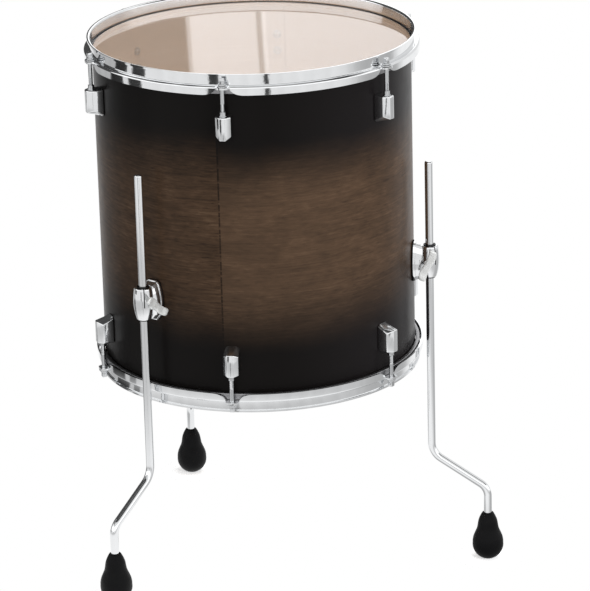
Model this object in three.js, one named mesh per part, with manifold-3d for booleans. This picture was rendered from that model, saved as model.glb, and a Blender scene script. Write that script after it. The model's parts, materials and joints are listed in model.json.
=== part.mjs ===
// A floor tom: a wooden drum on three bent legs, with six lugs at each head.
// Millimetres, +Z up, front towards -Y, with the origin on the floor under the middle.
// The drum is built upright about its own axis, with zero height at the shell's lower edge.
// It is then leaned forward, because its front leg stands higher in its bracket.

import * as THREE from 'three';
import { mergeVertices } from 'three/addons/utils/BufferGeometryUtils.js';
import { ConvexGeometry } from 'three/addons/geometries/ConvexGeometry.js';
import Module from 'manifold-3d';

const wasm = await Module();
wasm.setup();

// Clearances
const gap = 0.3; // between two pieces that touch
const overrun = 3; // how far a cutting shape runs past the face that it cuts

// Roundness of the mesh, and how near two vertices are when they are one
const ringSides = 48;
const tubeSides = 12;
const screwSides = 8;
const roundSides = 16;
const bendSteps = 4;
const weldTolerance = 1e-4;

// Shell: a little under its nominal width, so that the head slips over it
const shellRadius = 201.6;
const shellDepth = 406.4;
const shellWall = 6;
const edgeChamfer = 1.5; // outer cut of the bearing edge
const edgeCrown = 0.6; // narrow flat that the head lies on

// Head: a clear film with a collar, crimped into a flesh hoop
const filmThickness = 0.25;
const collarDepth = 3;
const fleshWidth = 5.3;
const fleshHeight = 8;

// Hoop: one bent sheet with a lip, a wall, a shelf and a skirt
const hoopSheet = 2.3;
const hoopHeight = 25.6;
const rimRise = 15; // top of the lip above the shell's edge
const shelfRise = 1; // top of the shelf above the shell's edge
const hoopStandoff = 2; // from the shell's surface to the inside of the wall
const lipFlare = 3; // how far the lip stands out from the wall
const lipBend = 2.6;
const shelfWidth = 6.5; // from the outside of the wall to the outside of the skirt
const earReach = 7; // from the rod's axis to the ear's outer edge
const earHalfWidth = 8.5;
const notchHalfWidth = 22; // half of the skirt's cut-away at its lower edge

// Tension rod, with its washer and its square-headed key end
const rodStandoff = 2; // from the outside of the skirt to the rod's axis
const rodRadius = 2.8;
const washerRadius = 6.3;
const washerThickness = 1.6;
const keyFlangeRadius = 4.7;
const keyFlangeHeight = 2.4;
const keyWidth = 6.2;
const keyHeight = 6.6;
const rodGrip = 22; // length of rod inside the lug

// Lug, with the swivel nut in its end and its two mounting screws
const lugSetback = 35.4; // from the shell's edge to the lug's rod end
const lugHeight = 35.6;
const lugWidth = 19.5;
const lugDepth = 20.5;
const lugSideDepth = 14;
const lugFaceWidth = 7.6;
const lugFaceHeight = 29.4;
const lugEndChamfer = 1.2;
const nutCollarRadius = 4.2;
const nutCollarHeight = 5.6;
const nutFlangeRadius = 5.6;
const nutFlangeHeight = 1.1;
const lugScrewRadius = 2.2;
const lugScrewInset = 6.5; // from the rod end to the first screw
const lugScrewPitch = 22;
const lugScrewBite = 4; // length of screw in the lug
const screwWasherRadius = 5.4;
const screwWasherThickness = 1;
const screwCrownRadius = 2.2;
const screwHeadHeight = 2.8;

// Air vent grommet
const ventBoreRadius = 5.5;
const ventTubeRadius = 6.5;
const ventFlangeRadius = 10;
const ventFlangeThickness = 1.2;

// Leg bracket
const bracketHeight = 119.5; // its centre above the shell's lower edge
const gasketThickness = 1.2;
const gasketBorder = 0.8;
const plateHalfWidth = 14.5;
const plateHalfHeight = 26.5;
const plateThickness = 3;
const wedgeTopDepth = 18.8;
const wedgeFootDepth = 12.4;
const wedgeHalfWidth = 9.6;
const wedgeTop = 20;
const wedgeFoot = -22;
const wedgeSpread = 3.2; // how much wider the wedge is where it meets its plate
const clampRadius = 12.6;
const clampTop = 22.5;
const clampFoot = -19.5;
const clampShares = [[0.7, 0], [0.88, 0.18], [0.985, 0.4], [1, 0.63], [0.93, 0.88], [0.87, 1]];
const slitWidth = 1.3;
const slitLength = 24;
const slitStandout = 6.5; // from the leg's axis to the slit, away from the shell

// Bolts that hold a bracket to the shell
const boltRadius = 2.8;
const boltBite = 6;
const boltHeadRadius = 5;
const boltHeadHeight = 3.6;
const boltWasherRadius = 6.6;
const boltWasherThickness = 1.2;
const boltSpread = 7;
const boltTopHeight = 15;
const boltFootHeight = -17;

// Nylon bush
const bushWall = 1.6;
const bushFlangeWidth = 0.9;
const bushFlangeThickness = 0.8;
const bushTail = 1.5; // how far it shows under the clamp

// Wing bolt
const wingHeight = 1.5; // its axis from the bracket's centre
const wingShankRadius = 3;
const wingHubRadius = 6.4;
const wingHubLength = 7;
const wingNeckRadius = 4.6;
const wingNeckLength = 1.5;
const wingReach = 21.5;
const wingWidth = 10; // across the bolt's axis
const wingLength = 11.5; // along the bolt's axis, from the hub's shell-side face

// Leg
const legStandoff = 21.8; // from the shell's surface to the leg's axis
const legRadius = 5.25;
const legTop = 254;
const legKnee = -144; // height of the corner where the leg turns out
const legSlope = 0.65; // fall of the slanted run for each unit outwards
const kneeBendRadius = 26;
const ankleBendRadius = 20;
const frontLegRaise = 34;

// Rubber foot
const footReach = 73; // how much further out than the leg's straight run
const footHeight = 65;
const footRadius = 20.3;
const footNeckRadius = 7;
const footBoreDepth = 27;
const footCrown = -270.4; // height of the middle of the foot's round end
const footSquash = 0.8; // how much the rubber flattens on the floor

// Directions around the drum, from the front towards +X
const degree = Math.PI / 180;
const lugAngles = [-150, -90, -30, 30, 90, 150].map((a) => a * degree);
const ventAngle = Math.PI;
const legSpacing = 120 * degree;
const brackets = [
  { name: 'front', angle: 0, side: 1, raise: frontLegRaise, wingTurn: 53 * degree },
  { name: 'rear_right', angle: legSpacing, side: -1, raise: 0, wingTurn: 21 * degree },
  { name: 'rear_left', angle: -legSpacing, side: 1, raise: 0, wingTurn: 33 * degree },
];

// Half outline of the bracket's plate, as shares of its half width and half height
const plateShares = [
  [0.72, 1], [0.9, 0.93], [1, 0.3], [0.97, -0.2], [0.78, -0.72], [0.4, -1],
];

// One wing's outline: shares of the wing's length along the bolt, then of its reach
const wingShares = [
  [0.05, 0.18], [0.26, 0.42], [0.44, 0.65], [0.55, 0.84], [0.64, 0.97], [0.78, 1],
  [0.93, 0.97], [1, 0.84], [0.9, 0.65], [0.75, 0.42], [0.6, 0.2],
];

// Upper part of the foot above its round end: shares of its radius, then of the height left
const footShares = [[0.955, 0.22], [0.71, 0.49], [0.62, 0.74]];

// Derived sizes that several pieces share
const shellInnerRadius = shellRadius - shellWall;
const hoopWallRadius = shellRadius + hoopStandoff; // inside of the wall
const hoopWallOuter = hoopWallRadius + hoopSheet;
const skirtRadius = hoopWallOuter + shelfWidth;
const rodCircle = skirtRadius + rodStandoff;
const legCircle = shellRadius + legStandoff;
const footCircle = legCircle + footReach;
const shellInnerFlat = shellInnerRadius * Math.cos(Math.PI / ringSides);
const shelfUnderside = shelfRise - hoopSheet;
const rearFootBack = -footCircle * Math.cos(legSpacing); // rear feet, behind the drum's axis
const lean = Math.atan2(frontLegRaise, footCircle + rearFootBack);
const bushRadius = legRadius + gap + bushWall;
const lugScrewDrops = [lugScrewInset, lugScrewInset + lugScrewPitch]; // below the lug's rod end

// Joining and cutting
function weld(geometry) {
  const bare = geometry.clone();
  bare.deleteAttribute('normal');
  bare.deleteAttribute('uv');
  const merged = mergeVertices(bare, weldTolerance);
  const corners = merged.index.array;
  const kept = [];
  for (let i = 0; i < corners.length; i += 3) {
    const [a, b, c] = corners.slice(i, i + 3);
    if (a !== b && b !== c && c !== a) kept.push(a, b, c);
  }
  merged.setIndex(kept);
  return merged;
}

function solid(geometry) {
  const welded = weld(geometry);
  return new wasm.Manifold(new wasm.Mesh({
    numProp: 3,
    vertProperties: new Float32Array(welded.attributes.position.array),
    triVerts: new Uint32Array(welded.index.array),
  }));
}

function geometryOf(body) {
  const mesh = body.getMesh();
  const geometry = new THREE.BufferGeometry();
  geometry.setAttribute('position', new THREE.BufferAttribute(mesh.vertProperties, 3));
  geometry.setIndex(new THREE.BufferAttribute(mesh.triVerts, 1));
  geometry.computeVertexNormals();
  return geometry;
}

function join(...geometries) {
  return geometries.map(solid).reduce((sum, next) => sum.add(next));
}

// The radius of a polygonal bore that clears a round of this radius all the way round
function boreFor(radius, sides) {
  return (radius + gap) / Math.cos(Math.PI / sides);
}

// A turned solid about Z from [radius, height] points, closed on itself or on the axis
function lathe(profile, sides) {
  const points = profile.map(([r, z]) => new THREE.Vector2(r, z));
  if (THREE.ShapeUtils.area(points) < 0) points.reverse();
  points.push(points[0].clone());
  return new THREE.LatheGeometry(points, sides).rotateX(Math.PI / 2);
}

// A round bar about Z between two heights
function bar(radius, from, to, sides) {
  return lathe([[0, from], [radius, from], [radius, to], [0, to]], sides);
}

// A round bar that points outwards, between two distances outwards
function outwardBar(radius, from, to, sides) {
  return bar(radius, from, to, sides).rotateX(Math.PI / 2);
}

// A flat outline in X and Z, given thickness outwards
function outwardPlate(outline, from, to) {
  const shape = new THREE.Shape(outline.map(([x, z]) => new THREE.Vector2(x, z)));
  const geometry = new THREE.ExtrudeGeometry(shape, { depth: to - from, bevelEnabled: false });
  return geometry.translate(0, 0, from).rotateX(Math.PI / 2);
}

function block(xFrom, xTo, outFrom, outTo, zFrom, zTo) {
  const box = new THREE.BoxGeometry(xTo - xFrom, outTo - outFrom, zTo - zFrom);
  return box.translate((xFrom + xTo) / 2, -(outFrom + outTo) / 2, (zFrom + zTo) / 2);
}

// Finishes
const finishes = {
  lacquer: { color: 0x33231b, roughness: 0.35, metalness: 0 },
  chrome: { color: 0xd9dbde, roughness: 0.12, metalness: 1 },
  aluminium: { color: 0xbfc1c4, roughness: 0.35, metalness: 1 },
  zincSteel: { color: 0xb4b6b8, roughness: 0.3, metalness: 1 },
  film: { color: 0xe9e3df, roughness: 0.12, metalness: 0, transparent: true, opacity: 0.35 },
  rubber: { color: 0x17181a, roughness: 0.75, metalness: 0 },
  nylon: { color: 0x1c1c1e, roughness: 0.5, metalness: 0 },
};

function piece(name, geometry, finish) {
  const mesh = new THREE.Mesh(geometry, new THREE.MeshStandardMaterial(finishes[finish]));
  mesh.name = name;
  return mesh;
}

// A frame whose -Y points outwards at an angle around the drum
function sector(angle) {
  const group = new THREE.Group();
  group.rotation.z = angle;
  return group;
}

// Places a piece at a head: end 1 is the top, and end -1 is the same piece turned upside down
function seatAtEnd(mesh, end, outwards, rise) {
  mesh.position.set(0, -outwards, end > 0 ? shellDepth + rise : -rise);
  if (end < 0) mesh.rotation.y = Math.PI;
  return mesh;
}

// Shell with a bearing edge at each end
function shellBody() {
  const crownOut = shellRadius - edgeChamfer;
  const crownIn = crownOut - edgeCrown;
  const innerBevel = crownIn - shellInnerRadius;
  const lower = [
    [shellInnerRadius, innerBevel], [crownIn, 0], [crownOut, 0], [shellRadius, edgeChamfer],
  ];
  const upper = lower.map(([r, z]) => [r, shellDepth - z]).reverse();
  return lathe([...lower, ...upper], ringSides);
}

function wallHole(radius, sides, angle, x, z) {
  const hole = outwardBar(boreFor(radius, sides), shellInnerRadius - overrun, shellRadius + overrun, sides);
  return hole.translate(x, 0, z).rotateZ(angle);
}

const boltPlaces = [
  [-boltSpread, boltTopHeight], [boltSpread, boltTopHeight], [0, boltFootHeight],
];

function shellGeometry() {
  const holes = [wallHole(ventTubeRadius, tubeSides, ventAngle, 0, shellDepth / 2)];
  for (const angle of lugAngles) {
    for (const drop of lugScrewDrops) {
      holes.push(wallHole(lugScrewRadius, screwSides, angle, 0, lugSetback + drop));
      holes.push(wallHole(lugScrewRadius, screwSides, angle, 0, shellDepth - lugSetback - drop));
    }
  }
  for (const { angle } of brackets) {
    for (const [x, z] of boltPlaces) {
      holes.push(wallHole(boltRadius, screwSides, angle, x, bracketHeight + z));
    }
  }
  return geometryOf(solid(shellBody()).subtract(join(...holes)));
}

// Air vent: a tube through the wall with a flange on each side
function ventGeometry() {
  const outside = shellRadius + gap;
  const inside = shellInnerFlat - gap;
  return lathe([
    [ventBoreRadius, inside - ventFlangeThickness],
    [ventFlangeRadius, inside - ventFlangeThickness],
    [ventFlangeRadius, inside],
    [ventTubeRadius, inside],
    [ventTubeRadius, outside],
    [ventFlangeRadius, outside],
    [ventFlangeRadius, outside + ventFlangeThickness],
    [ventBoreRadius, outside + ventFlangeThickness],
  ], tubeSides).rotateX(Math.PI / 2);
}

// Film of a head: flat over the bearing edge, then a collar down the outside of the shell
function filmGeometry() {
  const crown = shellRadius - edgeChamfer;
  const collar = shellRadius + gap;
  return lathe([
    [0, gap],
    [crown, gap],
    [collar, gap - edgeChamfer],
    [collar, -collarDepth],
    [collar + filmThickness, -collarDepth],
    [collar + filmThickness, gap - edgeChamfer + filmThickness],
    [crown, gap + filmThickness],
    [0, gap + filmThickness],
  ], ringSides);
}

function fleshHoopGeometry() {
  const inner = shellRadius + gap + filmThickness + gap;
  const top = shelfUnderside - gap;
  return lathe([
    [inner, top - fleshHeight], [inner + fleshWidth, top - fleshHeight],
    [inner + fleshWidth, top], [inner, top],
  ], ringSides);
}

// Hoop: the bent sheet is turned, the skirt is cut away at each rod and an ear takes its place
function hoopRing() {
  const lipRadius = hoopWallOuter + lipFlare;
  const skirtIn = skirtRadius - hoopSheet;
  const lipFoot = rimRise - lipBend;
  const bend = hoopSheet / 2;
  return lathe([
    [hoopWallRadius, shelfUnderside],
    [skirtIn, shelfUnderside],
    [skirtIn, rimRise - hoopHeight],
    [skirtRadius, rimRise - hoopHeight],
    [skirtRadius, shelfRise],
    [hoopWallOuter, shelfRise],
    [hoopWallOuter, lipFoot - bend],
    [lipRadius, lipFoot + bend],
    [lipRadius, rimRise],
    [hoopWallRadius + lipBend, rimRise],
    [hoopWallRadius, lipFoot],
  ], ringSides);
}

function notchCutter() {
  const foot = rimRise - hoopHeight - overrun;
  const shoulder = (earHalfWidth + notchHalfWidth) / 2;
  const half = [
    [notchHalfWidth, foot],
    [notchHalfWidth, rimRise - hoopHeight],
    [shoulder, shelfUnderside - hoopSheet],
    [earHalfWidth, shelfUnderside],
  ];
  const other = half.map(([x, z]) => [-x, z]).reverse();
  const inner = shellRadius + gap + filmThickness + gap + fleshWidth;
  return outwardPlate([...half, ...other], inner, skirtRadius + overrun);
}

function earOutline() {
  const outer = rodCircle + earReach;
  const corner = earHalfWidth / 2;
  return [
    [-earHalfWidth, hoopWallRadius + hoopSheet / 2], [-earHalfWidth, outer - corner],
    [-corner, outer], [corner, outer],
    [earHalfWidth, outer - corner], [earHalfWidth, hoopWallRadius + hoopSheet / 2],
  ];
}

function earPlate() {
  const shape = new THREE.Shape(earOutline().map(([x, out]) => new THREE.Vector2(x, -out)));
  const plate = new THREE.ExtrudeGeometry(shape, { depth: hoopSheet, bevelEnabled: false });
  return plate.translate(0, 0, shelfUnderside);
}

function earHole() {
  const hole = bar(boreFor(rodRadius, screwSides), shelfUnderside - overrun, shelfRise + overrun, screwSides);
  return hole.translate(0, -rodCircle, 0);
}

function hoopGeometry() {
  const around = (make) => join(...lugAngles.map((angle) => make().rotateZ(angle)));
  const ring = solid(hoopRing()).subtract(around(notchCutter));
  return geometryOf(ring.add(around(earPlate)).subtract(around(earHole)));
}

// Tension rod: zero height at the ear's upper face, key end up
function rodGeometry() {
  const washerTop = gap + washerThickness;
  const flangeTop = washerTop + keyFlangeHeight;
  const tip = -(shelfRise + lugSetback + rodGrip);
  const turned = lathe([
    [0, tip], [rodRadius, tip], [rodRadius, gap], [washerRadius, gap],
    [washerRadius, washerTop], [keyFlangeRadius, washerTop], [keyFlangeRadius, flangeTop], [0, flangeTop],
  ], screwSides);
  const key = block(-keyWidth / 2, keyWidth / 2, -keyWidth / 2, keyWidth / 2, washerTop, flangeTop + keyHeight);
  return geometryOf(join(turned, key));
}

// Adds a point and its mirror image in X
function addPair(points, x, out, z) {
  points.push(new THREE.Vector3(x, -out, z), new THREE.Vector3(-x, -out, z));
}

// Lug: zero height at its rod end, with the rod end up, and its back just off the shell
function lugHull() {
  const half = lugWidth / 2;
  const faceHalf = lugFaceWidth / 2;
  const chamfer = lugEndChamfer;
  const sideEnd = (lugFaceHeight + lugHeight) / 2;
  const points = [];
  const put = (x, out, z) => addPair(points, x, gap + out, z);
  put(half, 0, -chamfer);
  put(half - chamfer, 0, 0);
  put(half, lugSideDepth, -chamfer);
  put(half - chamfer, lugSideDepth - chamfer, 0);
  put(faceHalf, lugDepth, -chamfer);
  put(faceHalf, lugDepth - chamfer, 0);
  put(half, lugSideDepth, -lugFaceHeight + faceHalf);
  put(faceHalf, lugDepth, -lugFaceHeight);
  put(half, 0, -sideEnd);
  put(half - faceHalf, 0, -lugHeight);
  return new ConvexGeometry(points);
}

function lugScrew(drop) {
  const seat = shellRadius - (shellInnerFlat - gap);
  const washerEnd = seat + screwWasherThickness;
  const headEnd = washerEnd + screwHeadHeight;
  const screw = lathe([
    [0, -lugScrewBite], [lugScrewRadius, -lugScrewBite], [lugScrewRadius, seat],
    [screwWasherRadius, seat], [screwWasherRadius, washerEnd], [screwCrownRadius, headEnd], [0, headEnd],
  ], screwSides);
  return screw.rotateX(-Math.PI / 2).translate(0, 0, -drop);
}

function lugGeometry() {
  const axisOut = rodCircle - shellRadius;
  const collarTop = nutFlangeHeight + nutCollarHeight;
  const nut = lathe([
    [0, -nutFlangeHeight], [nutFlangeRadius, -nutFlangeHeight], [nutFlangeRadius, nutFlangeHeight],
    [nutCollarRadius, nutFlangeHeight], [nutCollarRadius, collarTop], [0, collarTop],
  ], screwSides).translate(0, -axisOut, 0);
  const bore = bar(boreFor(rodRadius, screwSides), -rodGrip - overrun, collarTop + overrun, screwSides);
  const screws = lugScrewDrops.map(lugScrew);
  const whole = join(lugHull(), nut, ...screws);
  return geometryOf(whole.subtract(solid(bore.translate(0, -axisOut, 0))));
}

// Bracket pieces: zero height at the bracket's centre, outwards measured from the shell's surface
const gasketFace = gap + gasketThickness;
const castingBack = gasketFace + gap;

function plateOutline(border) {
  const half = plateShares.map(([x, z]) => [
    x * plateHalfWidth + border, z * (plateHalfHeight + border),
  ]);
  return [...half, ...half.map(([x, z]) => [-x, z]).reverse()];
}

// The shell's round, at a distance off its surface, for the backs of pieces that lie on it
function roundBack(standoff) {
  const reach = plateHalfHeight + overrun;
  return solid(bar(shellRadius + standoff, -reach, reach, ringSides).translate(0, shellRadius, 0));
}

function boltHoles(depth) {
  return join(...boltPlaces.map(([x, z]) => {
    const hole = outwardBar(boreFor(boltRadius, screwSides), -overrun, depth, screwSides);
    return hole.translate(x, 0, z);
  }));
}

function gasketGeometry() {
  const slab = solid(outwardPlate(plateOutline(gasketBorder), -overrun, gasketFace));
  const curved = slab.intersect(roundBack(gasketFace)).subtract(roundBack(gap));
  return geometryOf(curved.subtract(boltHoles(gasketFace + overrun)));
}

function wedge() {
  const points = [];
  for (const out of [castingBack, castingBack + plateThickness]) {
    addPair(points, wedgeHalfWidth + wedgeSpread, out, wedgeTop + wedgeSpread);
    addPair(points, wedgeHalfWidth - wedgeSpread, out, wedgeFoot - wedgeSpread);
    addPair(points, wedgeHalfWidth + wedgeSpread, out, 0);
  }
  addPair(points, wedgeHalfWidth, wedgeTopDepth, wedgeTop);
  addPair(points, wedgeHalfWidth - wedgeSpread, wedgeFootDepth, wedgeFoot);
  return new ConvexGeometry(points);
}

function clampBarrel() {
  const bulge = clampShares.map(([r, z]) => [r * clampRadius, clampFoot + z * (clampTop - clampFoot)]);
  return lathe([[0, clampFoot], ...bulge, [0, clampTop]], roundSides).translate(0, -legStandoff, 0);
}

function castingGeometry(side) {
  const body = join(
    outwardPlate(plateOutline(0), -overrun, castingBack + plateThickness),
    wedge(),
    clampBarrel(),
  );
  const bore = bar(boreFor(bushRadius, tubeSides), -plateHalfHeight - overrun, clampTop + overrun, tubeSides);
  const slitOut = legStandoff + slitStandout;
  const slitEnds = [0, side * (clampRadius + overrun)].sort((a, b) => a - b);
  const slit = block(...slitEnds, slitOut, slitOut + slitWidth, clampTop - slitLength, clampTop + overrun);
  const bolt = bar(boreFor(wingShankRadius, screwSides), 0, clampRadius + overrun, screwSides)
    .rotateY(side * Math.PI / 2).translate(0, -legStandoff, wingHeight);
  const cuts = [bore.translate(0, -legStandoff, 0), slit, bolt].map(solid);
  return geometryOf(cuts.reduce((rest, cut) => rest.subtract(cut), body)
    .subtract(roundBack(castingBack)).subtract(boltHoles(castingBack + boltBite + gap)));
}

// Bracket bolt: zero at the shell's outer surface, head inside the drum
function boltGeometry() {
  const seat = shellRadius - (shellInnerFlat - gap) + boltSpread * Math.tan(Math.PI / ringSides);
  const washerEnd = seat + boltWasherThickness;
  const headEnd = washerEnd + boltHeadHeight;
  return lathe([
    [0, -castingBack - boltBite], [boltRadius, -castingBack - boltBite], [boltRadius, seat],
    [boltWasherRadius, seat], [boltWasherRadius, washerEnd],
    [boltHeadRadius, washerEnd], [boltHeadRadius, headEnd], [0, headEnd],
  ], screwSides).rotateX(-Math.PI / 2);
}

// Bush: a tube in the clamp with a flange on top; zero height at the bracket's centre
function bushGeometry() {
  const inner = boreFor(legRadius, tubeSides);
  const flangeFoot = clampTop + gap;
  return lathe([
    [inner, clampFoot - bushTail], [bushRadius, clampFoot - bushTail], [bushRadius, flangeFoot],
    [bushRadius + bushFlangeWidth, flangeFoot],
    [bushRadius + bushFlangeWidth, flangeFoot + bushFlangeThickness],
    [inner, flangeFoot + bushFlangeThickness],
  ], tubeSides);
}

// Wing bolt along +X, with its wings in X and Z; zero is on the leg's axis
function wingBoltGeometry() {
  const tip = bushRadius + gap;
  const neck = clampRadius + gap;
  const hub = neck + wingNeckLength;
  const hubEnd = hub + wingHubLength;
  const turned = lathe([
    [0, tip], [wingShankRadius, tip], [wingShankRadius, neck], [wingNeckRadius, neck],
    [wingHubRadius, hub], [wingHubRadius, hubEnd - wingNeckLength], [wingNeckRadius, hubEnd], [0, hubEnd],
  ], tubeSides).rotateY(Math.PI / 2);
  const half = wingShares.map(([along, out]) => [hub + along * wingLength, out * wingReach]);
  const outline = [...half, ...half.map(([x, z]) => [x, -z]).reverse()];
  return geometryOf(join(turned, outwardPlate(outline, -wingWidth / 2, wingWidth / 2)));
}

// A path through given stations, each a point and a direction, so that straight runs take one step
class StationPath extends THREE.Curve {
  constructor(stations) {
    super();
    this.stations = stations;
  }

  between(t, key, target) {
    const place = t * (this.stations.length - 1);
    const first = Math.min(Math.floor(place), this.stations.length - 2);
    return target.lerpVectors(this.stations[first][key], this.stations[first + 1][key], place - first);
  }

  getPoint(t, target = new THREE.Vector3()) {
    return this.between(t, 'point', target);
  }

  getTangent(t, target = new THREE.Vector3()) {
    return this.between(t, 'direction', target).normalize();
  }

  getUtoTmapping(u) {
    return u;
  }
}

// Stations round a corner: an arc that leaves one straight run and joins the next
function bendStations(corner, from, to, radius) {
  const angle = from.angleTo(to);
  const setback = radius * Math.tan(angle / 2);
  const start = corner.clone().addScaledVector(from, -setback);
  const inwards = to.clone().addScaledVector(from, -to.dot(from)).normalize();
  const centre = start.clone().addScaledVector(inwards, radius);
  return Array.from({ length: bendSteps + 1 }, (_, i) => {
    const turn = angle * i / bendSteps;
    const direction = from.clone().multiplyScalar(Math.cos(turn)).addScaledVector(inwards, Math.sin(turn));
    const point = centre.clone()
      .addScaledVector(inwards, -radius * Math.cos(turn))
      .addScaledVector(from, radius * Math.sin(turn));
    return { point, direction };
  });
}

// Leg: zero height at the shell's lower edge, bent outwards at its knee
function legGeometry() {
  const down = new THREE.Vector3(0, 0, -1);
  const out = new THREE.Vector3(0, -1, -legSlope).normalize();
  const knee = new THREE.Vector3(0, 0, legKnee);
  const ankle = new THREE.Vector3(0, -footReach, legKnee - footReach * legSlope);
  const end = footCrown - footRadius + footHeight - footBoreDepth + gap;
  const stations = [
    { point: new THREE.Vector3(0, 0, legTop), direction: down },
    ...bendStations(knee, down, out, kneeBendRadius),
    ...bendStations(ankle, out, down, ankleBendRadius),
    { point: new THREE.Vector3(0, -footReach, end), direction: down },
  ];
  const section = new THREE.Shape(Array.from({ length: tubeSides }, (_, i) => {
    const turn = 2 * Math.PI * i / tubeSides;
    return new THREE.Vector2(legRadius * Math.cos(turn), legRadius * Math.sin(turn));
  }));
  return new THREE.ExtrudeGeometry(section, {
    steps: stations.length - 1,
    extrudePath: new StationPath(stations),
    bevelEnabled: false,
  });
}

// Rubber foot: zero at the middle of its round end, flattened by the floor that it stands on
function footGeometry(angle) {
  const top = footHeight - footRadius;
  const arc = Array.from({ length: bendSteps + 1 }, (_, i) => {
    const turn = -Math.PI / 2 * (1 - i / bendSteps);
    return [footRadius * Math.cos(turn), footRadius * Math.sin(turn)];
  });
  const bore = boreFor(legRadius, tubeSides);
  const body = lathe([
    ...arc.map(([r, z], i) => (i === 0 ? [0, z] : [r, z])),
    ...footShares.map(([r, z]) => [r * footRadius, z * top]),
    [footNeckRadius, top], [bore, top], [bore, top - footBoreDepth], [0, top - footBoreDepth],
  ], roundSides);
  const zAxis = new THREE.Vector3(0, 0, 1);
  const up = new THREE.Vector3(0, Math.sin(lean), Math.cos(lean)).applyAxisAngle(zAxis, -angle);
  const size = 2 * footRadius;
  const floor = new THREE.BoxGeometry(size, size, size).translate(0, 0, -size / 2 - footRadius + footSquash);
  floor.applyQuaternion(new THREE.Quaternion().setFromUnitVectors(zAxis, up));
  return geometryOf(solid(body).subtract(solid(floor)));
}

// Assembly
const drum = new THREE.Group();
drum.add(piece('shell', shellGeometry(), 'lacquer'));

const vent = sector(ventAngle);
const grommet = piece('air_vent', ventGeometry(), 'chrome');
grommet.position.z = shellDepth / 2;
vent.add(grommet);
drum.add(vent);

const ends = [{ name: 'top', end: 1 }, { name: 'bottom', end: -1 }];
const headNames = { top: 'batter_head', bottom: 'resonant_head' };
for (const { name, end } of ends) {
  drum.add(seatAtEnd(piece(`${headNames[name]}_film`, filmGeometry(), 'film'), end, 0, 0));
  drum.add(seatAtEnd(piece(`${headNames[name]}_flesh_hoop`, fleshHoopGeometry(), 'aluminium'), end, 0, 0));
  drum.add(seatAtEnd(piece(`${name}_hoop`, hoopGeometry(), 'chrome'), end, 0, 0));
  lugAngles.forEach((angle, i) => {
    const group = sector(angle);
    const lug = piece(`${name}_lug_${i + 1}`, lugGeometry(), 'chrome');
    const rod = piece(`${name}_tension_rod_${i + 1}`, rodGeometry(), 'chrome');
    group.add(seatAtEnd(lug, end, shellRadius, -lugSetback));
    group.add(seatAtEnd(rod, end, rodCircle, shelfRise));
    drum.add(group);
  });
}

for (const { name, angle, side, raise, wingTurn } of brackets) {
  const group = sector(angle);
  const onShell = (mesh, x, z) => {
    mesh.position.set(x, -shellRadius, bracketHeight + z);
    group.add(mesh);
  };
  const onLegAxis = (mesh, z) => {
    mesh.position.set(0, -legCircle, z);
    group.add(mesh);
  };
  onShell(piece(`${name}_bracket_gasket`, gasketGeometry(), 'rubber'), 0, 0);
  onShell(piece(`${name}_bracket`, castingGeometry(side), 'chrome'), 0, 0);
  boltPlaces.forEach(([x, z], i) => {
    onShell(piece(`${name}_bracket_bolt_${i + 1}`, boltGeometry(), 'zincSteel'), x, z);
  });
  onLegAxis(piece(`${name}_leg_bush`, bushGeometry(), 'nylon'), bracketHeight);
  onLegAxis(piece(`${name}_leg`, legGeometry(), 'chrome'), raise);
  const foot = piece(`${name}_foot`, footGeometry(angle), 'rubber');
  foot.position.set(0, -footCircle, footCrown + raise);
  group.add(foot);
  const bolt = new THREE.Group();
  bolt.position.set(0, -legCircle, bracketHeight + wingHeight);
  bolt.rotation.z = side > 0 ? 0 : Math.PI;
  const wing = piece(`${name}_wing_bolt`, wingBoltGeometry(), 'chrome');
  wing.rotation.x = side * wingTurn;
  bolt.add(wing);
  group.add(bolt);
  drum.add(group);
}

// Lean the drum and stand its three feet on the floor, centred between its front and its back
const frontEdge = -footCircle * Math.cos(lean) - (footCrown + frontLegRaise) * Math.sin(lean) - footRadius;
const backEdge = skirtRadius * Math.cos(lean) - (rimRise - hoopHeight) * Math.sin(lean);
drum.rotation.x = lean;
drum.position.y = -(frontEdge + backEdge) / 2;
drum.position.z = footRadius - footSquash - rearFootBack * Math.sin(lean) - footCrown * Math.cos(lean);

const floorTom = new THREE.Group();
floorTom.add(drum);
export default floorTom;
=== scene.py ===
# %% [markdown]
# # A floor tom
# A floor tom is a wooden cylinder with a clear head at each end, held down by bent steel hoops, on three
# bent legs. This lesson loads the drum's plain solids and dresses each piece: numpy works out a finer
# surface and shader nodes give it a finish. The solids could be shaded as they are, but their round parts
# are faceted, so each gets a finer surface.

import json

import bmesh
import bpy
import numpy as np
from mathutils import Matrix, Vector


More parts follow.
